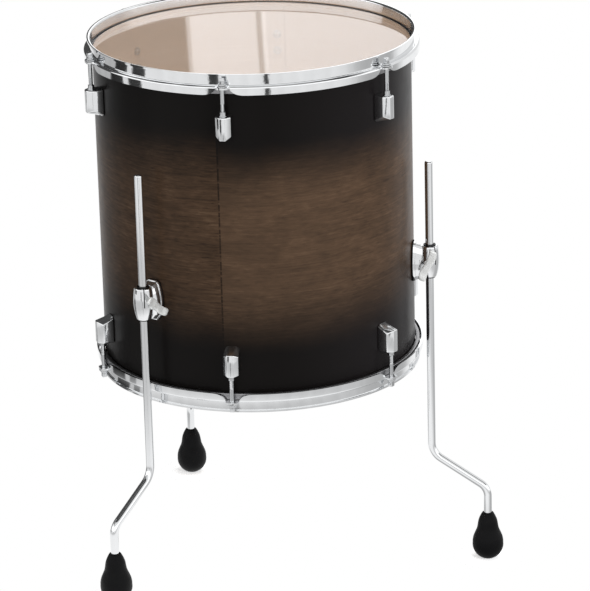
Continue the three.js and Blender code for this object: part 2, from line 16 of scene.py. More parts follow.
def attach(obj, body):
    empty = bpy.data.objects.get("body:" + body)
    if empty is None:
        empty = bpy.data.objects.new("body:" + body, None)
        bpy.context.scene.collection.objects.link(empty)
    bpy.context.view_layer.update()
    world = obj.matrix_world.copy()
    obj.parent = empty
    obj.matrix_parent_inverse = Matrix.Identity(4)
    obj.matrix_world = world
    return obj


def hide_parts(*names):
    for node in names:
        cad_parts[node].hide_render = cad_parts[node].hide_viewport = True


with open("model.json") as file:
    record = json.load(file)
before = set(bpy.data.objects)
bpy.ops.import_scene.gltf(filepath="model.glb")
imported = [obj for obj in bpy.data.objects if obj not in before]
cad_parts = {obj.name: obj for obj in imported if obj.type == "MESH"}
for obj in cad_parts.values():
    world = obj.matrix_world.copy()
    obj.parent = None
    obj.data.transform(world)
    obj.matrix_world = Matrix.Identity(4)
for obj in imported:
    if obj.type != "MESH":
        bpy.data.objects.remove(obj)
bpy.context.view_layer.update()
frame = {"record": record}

# %% [markdown]
# ## Where the drum stands
# The front leg stands higher in its bracket than the rear ones, so the whole drum leans. It is easiest to
# model it upright in millimetres, about its own axis with zero height at the shell's lower edge, and to
# lean it last. The batter head's mount gives the axis and a point on it.

# %% Lean the drum's own millimetres into the frame's metres
SHELL_DEPTH = 406.4
GAP = 0.3
FILM = 0.25
head_mount = next(m for m in frame["record"]["mounts"] if m["name"] == "batter_head")
axis = np.array(head_mount["axis"])
axis = axis / np.linalg.norm(axis)
origin = np.array(head_mount["pos_m"]) - axis * (SHELL_DEPTH + GAP + FILM) / 1000
lean = np.arctan2(-axis[1], axis[2])
LEAN_MATRIX = np.array([[1, 0, 0], [0, np.cos(lean), -np.sin(lean)], [0, np.sin(lean), np.cos(lean)]])
# Points times one of these: what was drawn up Z points outwards from the drum, or inwards.
OUTWARD = np.array([[1, 0, 0], [0, 0, 1], [0, -1, 0]])
INWARD = OUTWARD.T


def to_frame(points):
    """Each point is turned about X by the lean, scaled to metres and moved to the drum's origin."""
    return np.asarray(points, float) @ LEAN_MATRIX.T / 1000 + origin


def around(points, angle):
    """Each point is turned about the drum's axis; -Y points outwards at angle zero."""
    c, s = np.cos(angle), np.sin(angle)
    return np.asarray(points, float) @ np.array([[c, s, 0], [-s, c, 0], [0, 0, 1]])


def stood(points, angle, out, rise, x=0):
    """Each point moves out from the drum's axis and up from the shell's lower edge, then round the drum."""
    return around(np.asarray(points) + np.array([x, -out, rise]), angle)


def at_end(points, end, out=0, rise=0):
    """A piece drawn for the top head is used as it is (end 1), or turned upside down (end -1), then it
    moves out by `out` and up from the shell's edge by `rise`."""
    flip = np.array([1, 1, 1]) if end > 0 else np.array([-1, 1, -1])
    edge = SHELL_DEPTH if end > 0 else 0
    return np.asarray(points, float) * flip + np.array([0, -out, edge + rise * end])


print("lean", round(float(np.degrees(lean)), 2), "degrees")

# %% [markdown]
# ## Sizes
# All sizes are in millimetres and match the solids. They are written once here, because the box of a
# leaning solid says little.

# %% Sizes of the drum
SHELL_R = 201.6
SHELL_WALL = 6.0
HOOP_SHEET = 2.3
HOOP_WALL_R = SHELL_R + 2.0
WALL_OUT = HOOP_WALL_R + HOOP_SHEET
SKIRT_R = WALL_OUT + 6.5
ROD_CIRCLE = SKIRT_R + 2.0
RIM_RISE = 15.0
SHELF_RISE = 1.0
HOOP_HEIGHT = 25.6
LUG_SETBACK = 35.4
LEG_OUT = 21.8
LEG_CIRCLE = SHELL_R + LEG_OUT
FOOT_REACH = 73.0
FOOT_CIRCLE = LEG_CIRCLE + FOOT_REACH
BRACKET_HEIGHT = 119.5
WING_HEIGHT = 1.5
LEG_R = 5.25
LUG_ANGLES = np.radians([-150, -90, -30, 30, 90, 150])
LEGS = {
    "front": {"angle": 0.0, "side": 1, "raise": 34.0, "wing": np.radians(53)},
    "rear_right": {"angle": np.radians(120), "side": -1, "raise": 0.0, "wing": np.radians(21)},
    "rear_left": {"angle": np.radians(-120), "side": 1, "raise": 0.0, "wing": np.radians(33)},
}
print("hoop", round(2 * SKIRT_R, 1), "mm across its skirt")

# %% [markdown]
# ## Surfaces from numbers
# A turned part is a profile carried round an axis, a bent one a section carried along a path, and a
# casting a stack of outlines. All are grids of points, so one helper makes their faces. Modelling by hand
# would work too, but a formula keeps every edge where its size says.

# %% Grids, stacks and rounded corners
MOST_OF_HALF = 0.499


def grid_faces(points, wrap_u, wrap_v):
    """Joins each point of a grid to its next ones along u and v as quads, and closes a wrapped side."""
    points = np.asarray(points, float)
    nu, nv = points.shape[:2]
    index = np.arange(nu * nv).reshape(nu, nv)
    if wrap_u:
        index = np.vstack([index, index[:1]])
    if wrap_v:
        index = np.hstack([index, index[:, :1]])
    quads = np.stack([index[:-1, :-1], index[1:, :-1], index[1:, 1:], index[:-1, 1:]], -1)
    return points.reshape(-1, 3), quads.reshape(-1, 4)


def rounded(corners, cut, steps=5, closed=True):
    """Replaces each corner by a quadratic curve that starts and ends `cut` before and after it, but never
    past the middle of a side."""
    corners = np.asarray(corners, float)
    back = np.roll(corners, 1, -2) - corners
    ahead = np.roll(corners, -1, -2) - corners
    cut = np.broadcast_to(np.asarray(cut, float), corners.shape[:-1])[..., None]
    sizes = [np.maximum(np.linalg.norm(v, axis=-1, keepdims=True), 1e-9) for v in (back, ahead)]
    cut = np.minimum(cut, MOST_OF_HALF * np.minimum(*sizes))
    if not closed:
        cut = cut.copy()
        cut[..., [0, -1], :] = 0
    places = corners + back / sizes[0] * cut, corners, corners + ahead / sizes[1] * cut
    s = np.linspace(0, 1, steps)[:, None]
    shares = (1 - s) ** 2, 2 * s * (1 - s), s**2
    curve = sum(share * place[..., None, :] for share, place in zip(shares, places))
    return curve.reshape(*corners.shape[:-2], -1, corners.shape[-1])


def turned(profile, sides=96, closed=True):
    """Radius and height pairs carried round Z: x is r sin a and y is minus r cos a."""
    r, z = np.asarray(profile, float).T
    a = np.linspace(0, 2 * np.pi, sides, endpoint=False)[:, None]
    return grid_faces(np.stack([r * np.sin(a), -r * np.cos(a), z + 0 * a], -1), True, closed)


def round_bar(radius, low, high, sides):
    """A closed cylinder on Z."""
    return turned([[0, low], [radius, low], [radius, high], [0, high]], sides, False)


def ring(inner, outer, low, high, cut, steps, sides):
    """A ring round Z whose section is an oblong with rounded corners."""
    section = [[inner, low], [outer, low], [outer, high], [inner, high]]
    return turned(rounded(section, cut, steps), sides)


def stacked(outlines):
    """A stack of closed outlines, with its first and last one closed to their middles."""
    outlines = np.asarray(outlines, float)
    ends = [np.broadcast_to(outlines[k].mean(0), outlines[k].shape)[None] for k in (0, -1)]
    return grid_faces(np.concatenate([ends[0], outlines, ends[1]]), False, True)


def prism(corners, cut, steps, levels):
    """One outline with rounded corners at several levels, each a scale and a height."""
    outlines = [(rounded(corners * scale, cut, steps), z) for scale, z in levels]
    return stacked([np.column_stack([outline, np.full(len(outline), z)]) for outline, z in outlines])


def moved(part, change):
    """The same faces on changed points."""
    return change(part[0]), part[1]


print("a ring of", len(turned([[1, 0], [2, 0], [2, 1]])[1]), "quads, for one")

# %% [markdown]
# ## From arrays to a piece
# Blender takes whole arrays through foreach_set, far faster than points one by one. Poles and seams are
# merged and faces turned outwards, so each piece is a closed skin, shaded smooth but for its sharp edges.

# %% Put arrays into a mesh
DRUM = "drum"
SAME_PLACE = 2e-6


def closed_skin(mesh):
    """Merges points that share a place, drops faces that have no area and turns the rest outwards."""
    work = bmesh.new()
    work.from_mesh(mesh)
    bmesh.ops.remove_doubles(work, verts=work.verts, dist=SAME_PLACE)
    bmesh.ops.dissolve_degenerate(work, edges=work.edges, dist=SAME_PLACE)
    loose = [v for v in work.verts if not v.link_faces]
    bmesh.ops.delete(work, geom=loose, context="VERTS")
    bmesh.ops.recalc_face_normals(work, faces=work.faces)
    work.to_mesh(mesh)
    work.free()
    return mesh


def bare_object(name, parts, change=np.asarray):
    """An object in the scene, with no finish yet: one skin of several parts, each its points and its quads,
    after a change of the points."""
    points = [change(p) for p, q in parts]
    first = np.cumsum([0] + [len(p) for p in points])
    points = np.concatenate(points)
    quads = np.concatenate([q + n for (p, q), n in zip(parts, first)])
    mesh = bpy.data.meshes.new(name)
    mesh.vertices.add(len(points))
    mesh.vertices.foreach_set("co", to_frame(points).astype(np.float32).ravel())
    mesh.loops.add(quads.size)
    mesh.loops.foreach_set("vertex_index", quads.ravel().astype(np.int32))
    mesh.polygons.add(len(quads))
    mesh.polygons.foreach_set("loop_start", np.arange(0, quads.size, 4, dtype=np.int32))
    mesh.update(calc_edges=True)
    obj = bpy.data.objects.new(name, closed_skin(mesh))
    bpy.context.scene.collection.objects.link(obj)
    return obj


def settle(obj):
    """Applies the object's modifiers by taking the mesh that Blender works out."""
    graph = bpy.context.evaluated_depsgraph_get()
    mesh = bpy.data.meshes.new_from_object(obj.evaluated_get(graph))
    obj.modifiers.clear()
    obj.data = mesh
    return obj


def combine(obj, operation, *others):
    """Joins other solids to this one, or cuts them out of it, and removes them."""
    for other in others:
        step = obj.modifiers.new(operation.lower(), "BOOLEAN")
        step.operation = operation
        step.solver = "EXACT"
        step.use_hole_tolerant = True
        step.object = other
    settle(obj)
    for other in others:
        bpy.data.objects.remove(other)
    closed_skin(obj.data)


def eased(obj, width, limit):
    """Breaks edges sharper than the limit, as tumbling or polishing does, with a Bevel modifier."""
    bevel = obj.modifiers.new("edges", "BEVEL")
    bevel.width = width / 1000
    bevel.segments = 3
    bevel.limit_method = "ANGLE"
    bevel.angle_limit = np.radians(limit)
    return settle(obj)


def dress(obj, body, nodes, slot, *finishes, sharp=35):
    """Gives a piece its finishes and its body, hides the solids that it stands for, and shades it smooth but
    crisp across edges of more than `sharp` degrees."""
    obj.data.materials.clear()
    for finish in finishes:
        obj.data.materials.append(finish.material)
    obj.data.shade_smooth()
    obj.data.set_sharp_from_angle(angle=np.radians(sharp))
    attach(obj, body)
    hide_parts(*nodes)


# %% [markdown]
# ## Shader maths as plain expressions
# A finish is a tree of nodes. So that it can be read, a small class wraps a socket and gives it the usual
# signs: `1 - mask` adds a Math node. Colours have nodes of their own, because Math turns them grey.

# %% Sockets that can be added and multiplied
class Value:
    """A socket that carries one number, a vector or a colour."""

    def __init__(self, finish, socket):
        self.finish = finish
        self.socket = socket

    def math(self, operation, *others, reflected=False):
        values = (*others, self) if reflected else (self, *others)
        return self.finish.node("ShaderNodeMath", {"operation": operation}, dict(enumerate(values)))

    def rise(self, low, high):
        """0 below low, 1 above high, and a smooth step between; low may be the larger one."""
        inputs = {"Value": self, "From Min": low, "From Max": high}
        return self.finish.node("ShaderNodeMapRange", {"interpolation_type": "SMOOTHSTEP"}, inputs)


def sign(operation, reflected):
    """The method behind a sign; reflected, a plain number stands before the value."""
    return lambda value, other: value.math(operation, other, reflected=reflected)


for name, operation in (("add", "ADD"), ("sub", "SUBTRACT"), ("mul", "MULTIPLY"), ("truediv", "DIVIDE")):
    setattr(Value, f"__{name}__", sign(operation, False))
    setattr(Value, f"__r{name}__", sign(operation, True))
Value.__pow__ = sign("POWER", False)


class Finish:
    """A material, or the world, whose nodes are added by one method."""

    def __init__(self, name, tree=None):
        if tree is None:
            self.material = bpy.data.materials.new(name)
            self.material.use_nodes = True
            tree = self.material.node_tree
        self.tree = tree
        tree.nodes.clear()

    def node(self, kind, settings=None, inputs=None, out=0):
        """Adds a node of a kind, sets its settings first, then gives its sockets values or links."""
        made = self.tree.nodes.new(kind)
        for key, value in (settings or {}).items():
            if key == "stops":
                ramp = made.color_ramp
                while len(ramp.elements) < len(value):
                    ramp.elements.new(0.5)
                for element, (place, shade) in zip(ramp.elements, value):
                    element.position = place
                    element.color = (*shade, 1)
            else:
                setattr(made, key, value)
        for key, value in (inputs or {}).items():
            socket = made.inputs[key]
            if isinstance(value, Value):
                self.tree.links.new(value.socket, socket)
            elif socket.type == "RGBA" and len(value) == 3:
                socket.default_value = (*value, 1)
            else:
                socket.default_value = value
        return Value(self, made.outputs[out]) if len(made.outputs) else None

    def place(self, turn=(0, 0, 0), shift=(0, 0, 0)):
        """Object coordinates, turned and shifted by a Mapping node."""
        place = self.node("ShaderNodeTexCoord", out="Object")
        return self.node("ShaderNodeMapping", {}, {"Vector": place, "Rotation": turn, "Location": shift})

    def parts_of(self, vector):
        """The x, y and z of a vector as three values."""
        split = self.node("ShaderNodeSeparateXYZ", {}, {"Vector": vector}).socket.node
        return [Value(self, output) for output in split.outputs]

    def azimuth(self, x, y):
        """Degrees round from the drum's front, growing towards +X."""
        return x.math("ARCTAN2", y * -1) * (180 / np.pi)

    def noise(self, place, scale, detail=3.0, roughness=0.5, distortion=0.0):
        """Cloudy noise from 0 to 1 at so many lumps a metre."""
        inputs = {"Scale": scale, "Detail": detail, "Roughness": roughness, "Distortion": distortion}
        return self.node("ShaderNodeTexNoise", {}, {"Vector": place, **inputs})

    def streaks(self, x, y, z, *shape):
        """Noise that is drawn out, because each coordinate comes in a scale of its own."""
        return self.noise(self.node("ShaderNodeCombineXYZ", {}, {"X": x, "Y": y, "Z": z}), 1.0, *shape)

    def blend(self, factor, a, b):
        """Mixes two colours by a factor."""
        return self.node("ShaderNodeMix", {"data_type": "RGBA"}, {0: factor, 6: a, 7: b}, 2)

    def ramp(self, place, stops):
        """A colour by a value, from pairs of a place and its colour."""
        return self.node("ShaderNodeValToRGB", {"stops": stops}, {"Fac": place})

    def bump(self, height, depth, strength=1.0):
        """A normal tilted by a height; depth is the real height in metres of a full step."""
        return self.node("ShaderNodeBump", {}, {"Strength": strength, "Distance": depth, "Height": height})

    def rays(self):
        """1 for rays of the camera, and 1 for rays that come off a mirror."""
        kinds = self.node("ShaderNodeLightPath").socket.node.outputs
        return Value(self, kinds["Is Camera Ray"]), Value(self, kinds["Is Glossy Ray"])

    def mix(self, factor, a, b):
        """Mixes two shaders by a factor."""
        return self.node("ShaderNodeMixShader", {}, {0: factor, 1: a, 2: b})

    def show(self, shader, what="Material"):
        """Sends a shader to the output."""
        self.node(f"ShaderNodeOutput{what}", {}, {"Surface": shader})
        return self

    def surface(self, **inputs):
        """The one shader of the material, with its inputs given by name."""
        names = {key.replace("_", " ").title().replace("Ior", "IOR"): value for key, value in inputs.items()}
        return self.show(self.node("ShaderNodeBsdfPrincipled", {}, names))


WHITE = (1.0, 1.0, 1.0)


def colour(r, g, b):
    """A colour as it looks on a screen, from 0 to 255, in the light values that shaders use."""
    c = np.array([r, g, b]) / 255
    return tuple(float(v) for v in np.where(c <= 0.04045, c / 12.92, ((c + 0.055) / 1.055) ** 2.4))


print("mid grey is", round(colour(128, 128, 128)[0], 3), "in light")

# %% [markdown]
# ## Lacquered maple
# The shell's outside is stained veneer under satin lacquer, sprayed black at both ends so that the brown
# glows from the middle. Nodes keep its figure sharp at any distance, which an image would not: long grain
# round the shell, short dark pores, cloudy blisters and a joint that runs down. They are drawn by angle
# and height about the drum's axis, worked out from Object coordinates that a Mapping node turns upright.

# %% Upright coordinates for the drum's wood
DRUM_SHIFT = tuple(float(v) for v in -(origin @ LEAN_MATRIX))
UPRIGHT = {"turn": (-float(lean), 0, 0), "shift": DRUM_SHIFT}
VENEER_JOINT = np.radians(26.5)


def shell_coordinates(finish, start):
    """Distance round the shell from a start angle, and height above its lower edge, in metres."""
    upright = finish.place(**UPRIGHT)
    x, y, z = finish.parts_of(upright)
    c, s = float(np.cos(start)), float(np.sin(start))
    across, outward = x * c + y * s, x * s - y * c
    turn = (across.math("ARCTAN2", outward) / (2 * np.pi)).math("FRACT")
    return upright, turn * (2 * np.pi * SHELL_R / 1000), z


print("shell's middle is", round(float(to_frame([0, 0, SHELL_DEPTH / 2])[2]) * 1000), "mm above the floor")


# %% Finish of the outside of the shell
UPPER_FADE, LOWER_FADE = (0.253, 0.337), (0.155, 0.062)
BROWNS = [(0.36, colour(47, 34, 25)), (0.46, colour(66, 50, 37)), (0.53, colour(78, 59, 44)),
          (0.64, colour(99, 78, 60))]


def lacquer_finish():
    """Brown from a ramp over the figure, with pores and the joint, mixed with the burst's dark colour by how
    far the height lies in the fade at either end; left of the joint the upper fade starts lower. In a band
    right of the joint the burst's dark colour is lighter and greyer, as a painted sheen."""
    f = Finish("burst_lacquer_on_maple")
    upright, run, height = shell_coordinates(f, VENEER_JOINT)
    drift = height + (f.streaks(run * 4, height * 15, 0.0, 2.0) - 0.5) * 0.014
    grain = f.streaks(run * 11, drift * 330, 1.7, 4.0, 0.6)
    fleck = f.streaks(run * 70, drift * 520, 8.0, 3.0, 0.6)
    cloud = f.streaks(run * 19, height * 28, 4.0, 3.0, 0.55, 0.7)
    curl = f.streaks(run * 36, drift * 110, 12.0, 3.0, 0.6, 1.2)
    figure = grain * 0.27 + fleck * 0.27 + cloud * 0.24 + curl * 0.22
    tone = f.ramp(figure, BROWNS)
    tone = f.blend(fleck.rise(0.4, 0.27) * 0.5, tone, colour(34, 24, 17))
    patch = f.streaks(run * 6, height * 8, 21.0, 2.0)
    tone = f.blend(patch.rise(0.48, 0.8) * 0.4, tone, colour(50, 36, 26))
    tone = f.blend(run.rise(0.0, 0.003) * run.rise(0.4, 0.1) * 0.2, tone, colour(112, 90, 72))
    broken = f.streaks(0.0, height * 150, 2.0, 3.0, 0.7)
    joint = (run - 0.0014).math("ABSOLUTE").rise(0.0015, 0.0005)
    tone = f.blend(joint * broken.rise(0.42, 0.5) * 0.75, tone, colour(27, 20, 14))
    tone = f.blend(joint * broken.rise(0.4, 0.34) * 0.5, tone, colour(124, 104, 84))
    place = height + (f.noise(upright, 7.0, 3.0) - 0.5) * 0.05
    left = run.rise(0.95, 1.1)
    upper = (place - left * 0.014).rise(*UPPER_FADE)
    burst = upper.math("MAXIMUM", (place - left * 0.004).rise(*LOWER_FADE))
    # Painted sheen: in a band right of the joint the burst's dark colour is lighter and greyer, standing in
    # for the reflection of a broad light.
    burst_dark_with_painted_sheen = f.blend(run.rise(0.06, 0.24) * run.rise(0.5, 0.3), colour(13, 10, 9), colour(25, 22, 23))
    tone = f.blend(burst, tone, burst_dark_with_painted_sheen)
    relief = grain * 0.4 + fleck * 0.4 + curl * 0.2
    wobble = f.noise(upright, 55.0, 2.0)
    normal = f.bump(relief + wobble * 3.0, 0.00006, 0.35)
    return f.surface(base_color=tone, roughness=0.3 + wobble * 0.1, specular_ior_level=0.1, normal=normal)


shell_lacquer = lacquer_finish()
print(len(shell_lacquer.tree.nodes), "nodes in the lacquer")

# %% [markdown]
# ## Bare wood inside and in the edge
# Inside, the veneer is only sealed, so it is pale and dull. The bearing edge is cut through all six plies,
# which show as stripes: pale where the grain runs along the edge, darker where it runs across. The
# stripes follow from the radius alone.

# %% Finishes of the inside and of the bearing edge
PLY_PAIR = 0.002


def veneer_finish():
    """A pale ramp over long grain and soft clouds, with a darker joint."""
    f = Finish("sealed_maple_veneer")
    upright, run, height = shell_coordinates(f, VENEER_JOINT + np.pi)
    drift = height + (f.streaks(run * 2.2, height * 9, 3.0, 2.0) - 0.5) * 0.02
    grain = f.streaks(run * 4, drift * 160, 5.0, 4.0, 0.6)
    cloud = f.streaks(run * 11, height * 13, 9.0, 3.0, 0.5)
    tone = f.ramp(grain * 0.6 + cloud * 0.4, [
        (0.25, colour(211, 186, 164)), (0.5, colour(224, 203, 183)), (0.75, colour(233, 215, 198))])
    joint = (run - 0.0018).math("ABSOLUTE").rise(0.0016, 0.0008)
    tone = f.blend(joint * 0.25, tone, colour(140, 106, 82))
    normal = f.bump(grain, 0.0001, 0.4)
    return f.surface(base_color=tone, roughness=0.5 + grain * 0.2, specular_ior_level=0.35, normal=normal)


def ply_finish():
    """Pale and dark stripes by the radius, the square root of x squared plus y squared."""
    f = Finish("six_ply_edge")
    x, y, z = f.parts_of(f.place(**UPRIGHT))
    radius = (x * x + y * y).math("SQRT")
    stripe = ((radius - (SHELL_R - SHELL_WALL) / 1000) / PLY_PAIR).math("FRACT").rise(0.44, 0.56)
    fibre = f.streaks(x * 900, y * 900, z * 400, 2.0)
    tone = f.blend(stripe, colour(206, 174, 138), colour(168, 128, 92))
    tone = f.blend(fibre * 0.4, tone, colour(140, 104, 74))
    return f.surface(base_color=tone, roughness=0.45 + fibre * 0.2, normal=f.bump(fibre, 0.0001, 0.4))


inner_veneer = veneer_finish()
ply_edge = ply_finish()
print("six plies of 1 mm")

# %% [markdown]
# ## Chrome
# Chrome has almost no colour of its own: it shows what stands round it. A perfect mirror looks like a
# drawing, so faint waves and a thin haze vary it, as each part was made: bent sheet, casting or drawn
# bar. The wing bolts are tumbled, so they have a satin sheen.

# %% Finishes of the plated parts
def chrome_finish(name, tint, polish, wave_size, wave_depth, speck=0.0, metal=1.0):
    """Polish is the least roughness, to which haze and dust add; waves come at so many a metre and so many
    metres deep; specks darken the tint."""
    f = Finish(name)
    place = f.place()
    wave = f.noise(place, wave_size, 2.0, 0.4)
    fine = f.noise(place, wave_size * 9, 2.0, 0.5)
    haze = f.noise(place, 38.0, 3.0, 0.6)
    dust = f.noise(place, 420.0, 2.0, 0.6)
    tone = f.blend(haze * 0.25 + dust.rise(0.62, 0.78) * speck, tint, tuple(v * 0.82 for v in tint))
    rough = polish + haze * 0.05 + dust.rise(0.6, 0.8) * 0.08
    normal = f.bump(wave + fine * 0.12, wave_depth)
    return f.surface(base_color=tone, metallic=metal, roughness=rough, normal=normal)


CHROME = (0.83, 0.84, 0.85)
hoop_chrome = chrome_finish("chromed_bent_steel", CHROME, 0.045, 26.0, 0.00025)
cast_chrome = chrome_finish("chromed_casting", CHROME, 0.06, 60.0, 0.00012, 0.2)
satin_chrome = chrome_finish("tumbled_chromed_casting", (0.86, 0.87, 0.86), 0.24, 80.0, 0.00016, 0.2, 0.3)
bar_chrome = chrome_finish("chromed_steel_bar", CHROME, 0.05, 22.0, 0.0001)
rod_chrome = chrome_finish("chromed_threaded_steel", (0.6, 0.61, 0.62), 0.1, 90.0, 0.00005, 0.3)
zinc = chrome_finish("zinc_plated_steel", (0.62, 0.64, 0.66), 0.28, 120.0, 0.00006, 0.4)
# Painted shade: the flesh hoops' aluminium has a dark grey tint, standing in for the shade that they lie in
# under the hoops' shelf and ears.
aluminium = chrome_finish("rolled_aluminium", (0.36, 0.36, 0.37), 0.34, 50.0, 0.00006, 0.2)
print("six plated finishes and one of aluminium")

# %% [markdown]
# ## Rubber, nylon and film
# Feet and gaskets are black rubber with a fine moulded skin, and the bushes are smoother black nylon. The
# heads are clear film, nearly nothing but reflections and a faint haze, so a clear, a cloudy and a
# mirroring shader are mixed.

# %% Finishes of the feet, gaskets, bushes and heads
CLOUDY_SHARE = 0.16
SQUARE_SHARE = 0.053


def rubber_finish(name, base, polish, grain_depth):
    """The base colour, lighter in clouds and scuffs, which are also rougher, under a fine moulded skin."""
    f = Finish(name)
    place = f.place()
    skin = f.noise(place, 900.0, 3.0, 0.6)
    cloud = f.noise(place, 34.0, 3.0, 0.5)
    scuff = f.noise(place, 140.0, 4.0, 0.7).rise(0.6, 0.75)
    tone = f.blend(cloud * 0.5 + scuff * 0.25, base, tuple(v * 1.7 + 0.002 for v in base))
    rough = polish + cloud * 0.12 + scuff * 0.12
    normal = f.bump(skin, grain_depth, 0.6)
    return f.surface(base_color=tone, roughness=rough, specular_ior_level=0.12, normal=normal)


def film_finish():
    """Clear where a ray meets it squarely; the share that it mirrors grows with the fifth power of how
    far the ray grazes it, and a faint warm haze is added."""
    f = Finish("clear_head_film")
    place = f.place(**UPRIGHT)
    haze = f.noise(place, 7.0, 2.0, 0.5)
    scuff = f.noise(place, 60.0, 4.0, 0.7).rise(0.62, 0.8)
    tone = f.blend(haze, colour(231, 232, 235), colour(223, 224, 227))
    graze = f.node("ShaderNodeLayerWeight", {}, {"Blend": 0.5}, out="Facing")
    share = SQUARE_SHARE + (1 - SQUARE_SHARE) * graze**5 + haze * 0.02 + scuff * 0.015
    gloss = f.node("ShaderNodeBsdfPrincipled", {}, {"Base Color": tone, "Metallic": 0.96, "Roughness": 0.02})
    clear = f.node("ShaderNodeBsdfTransparent", {}, {"Color": WHITE})
    cloudy = f.node("ShaderNodeBsdfDiffuse", {}, {"Color": colour(242, 216, 192)})
    return f.show(f.mix(share, f.mix(CLOUDY_SHARE, clear, cloudy), gloss))


foot_rubber = rubber_finish("moulded_black_rubber", colour(5, 5, 6), 0.42, 0.00004)
gasket_rubber = rubber_finish("black_gasket_rubber", colour(9, 9, 10), 0.6, 0.00006)
black_nylon = rubber_finish("black_nylon", colour(14, 14, 15), 0.3, 0.00002)
head_film = film_finish()
print("film, rubber and nylon are ready")

# %% [markdown]
# ## The shell
# Six plies are glued to a cylinder and cut at 45 degrees at both ends, so that the head lies on a narrow
# crown. The wall's profile is turned round the axis, and a Boolean drills the holes for screws, bolts and
# air vent. The faces know their side by their radius, so one skin carries three finishes.

# %% Turn and drill the shell
INNER_R = SHELL_R - SHELL_WALL
ROUNDOVER = 1.5
CROWN_OUT = SHELL_R - ROUNDOVER
CROWN_IN = CROWN_OUT - 0.6
LUG_SCREW_DROPS = (6.5, 28.5)
BOLT_PLACES = ((-7.0, 15.0), (7.0, 15.0), (0.0, -17.0))
VENT_HOLE_R, SCREW_HOLE_R, BOLT_HOLE_R = 6.7, 2.5, 3.1
DRILL_PAST = 4


def drill_bit(radius, x, z, angle, sides):
    """A closed round bar through the wall."""
    bar = round_bar(radius, INNER_R - DRILL_PAST, SHELL_R + DRILL_PAST, sides)
    return moved(bar, lambda p: stood(p @ OUTWARD, angle, 0, z, x))


def shell_profile():
    """Heights at even steps up both faces, and the two bevels of each bearing edge."""
    bevel = CROWN_IN - INNER_R
    rows = np.linspace(0, 1, 42)[:, None]
    inside = np.array([INNER_R, bevel]) + rows * [0, SHELL_DEPTH - 2 * bevel]
    outside = np.array([SHELL_R, SHELL_DEPTH - ROUNDOVER]) + rows * [0, 2 * ROUNDOVER - SHELL_DEPTH]
    top = np.array([[CROWN_IN, SHELL_DEPTH], [CROWN_OUT, SHELL_DEPTH]])
    return np.concatenate([inside, top, outside, [[CROWN_OUT, 0], [CROWN_IN, 0]]])


def shell_kinds(mesh, near=0.3, bevel=4):
    """Number of the finish of each face: 0 outside, 1 inside, 2 for bevels and drilled holes."""
    centres = np.empty(len(mesh.polygons) * 3)
    mesh.polygons.foreach_get("center", centres)
    upright = (centres.reshape(-1, 3) - origin) @ LEAN_MATRIX * 1000
    radius, height = np.hypot(upright[:, 0], upright[:, 1]), upright[:, 2]
    kinds = np.full(len(radius), 2)
    kinds[(radius > SHELL_R - near) & (height > ROUNDOVER) & (height < SHELL_DEPTH - ROUNDOVER)] = 0
    kinds[(radius < INNER_R + near) & (height > bevel) & (height < SHELL_DEPTH - bevel)] = 1
    mesh.polygons.foreach_set("material_index", kinds.astype(np.int32))


shell = bare_object("shell_of_six_plies", [turned(shell_profile(), 240)])
holes = [drill_bit(VENT_HOLE_R, 0, SHELL_DEPTH / 2, np.pi, 24)]
for lug_angle in LUG_ANGLES:
    for drop in LUG_SCREW_DROPS:
        for height in (LUG_SETBACK + drop, SHELL_DEPTH - LUG_SETBACK - drop):
            holes.append(drill_bit(SCREW_HOLE_R, 0, height, lug_angle, 12))
for leg in LEGS.values():
    for x, z in BOLT_PLACES:
        holes.append(drill_bit(BOLT_HOLE_R, x, BRACKET_HEIGHT + z, leg["angle"], 12))
combine(shell, "DIFFERENCE", bare_object("drill", holes))
dress(shell, DRUM, ["shell"], "shell_lacquer", shell_lacquer, inner_veneer, ply_edge, sharp=30)
shell_kinds(shell.data)
print("shell has", len(shell.data.polygons), "faces")

# %% [markdown]
# ## Heads and flesh hoops
# A head is clear film: flat on top, with a small rounded step over the bearing edge and a collar that
# goes down into an aluminium flesh hoop. Both are turned.

# %% Turn the heads and their flesh hoops
COLLAR_DEPTH = 3.0


def film_profile():
    """The film's upper side from the middle outwards, then its lower side back."""
    collar, flat, top = SHELL_R + GAP, CROWN_OUT - 6, GAP + FILM
    outer = [[0, top], [flat, top], [CROWN_OUT + 0.3, top + 0.02], [collar + FILM, GAP - 1.3],
             [collar + FILM, -COLLAR_DEPTH]]
    inner = [[collar, -COLLAR_DEPTH], [collar, GAP - 1.5], [CROWN_OUT, GAP], [flat, GAP], [0, GAP]]
    return np.concatenate([rounded(outer, [0, 0, 1.2, 0.8, 0], 4, False),
                           rounded(inner, [0, 0.6, 0.8, 0, 0], 4, False)])


def flesh_hoop():
    inner = SHELL_R + 2 * GAP + FILM
    top = SHELF_RISE - HOOP_SHEET - GAP
    return ring(inner, inner + 5.3, top - 8, top, 1.1, 5, 180)


ENDS = {"top": (1, "batter_head"), "bottom": (-1, "resonant_head")}
for end, head in ENDS.values():
    def on_end(p):
        return at_end(p, end)

    film = bare_object(f"{head}_clear_film", [turned(film_profile(), 180, False)], on_end)
    dress(film, DRUM, [f"{head}_film"], "head_film", head_film, sharp=40)
    flesh = bare_object(f"{head}_crimped_hoop", [flesh_hoop()], on_end)
    dress(flesh, DRUM, [f"{head}_flesh_hoop"], "aluminium", aluminium)
print("two heads")

# %% [markdown]
# ## The hoops
# A triple-flanged hoop is a steel strip bent three times: a lip, a wall, a shelf that presses on the
# flesh hoop, and a skirt. At each rod the skirt is cut away in a swoop and the shelf runs outwards as an
# ear with a hole. The section is worked out for all angles at once: its middle line ends in the skirt,
# which shortens towards the ear, or in the ear, and half the sheet to either side gives the skin.

# %% Bend the hoops
EAR_HALF, EAR_REACH, SWOOP, EAR_SPAN = 8.5, 7.0, 21, 31


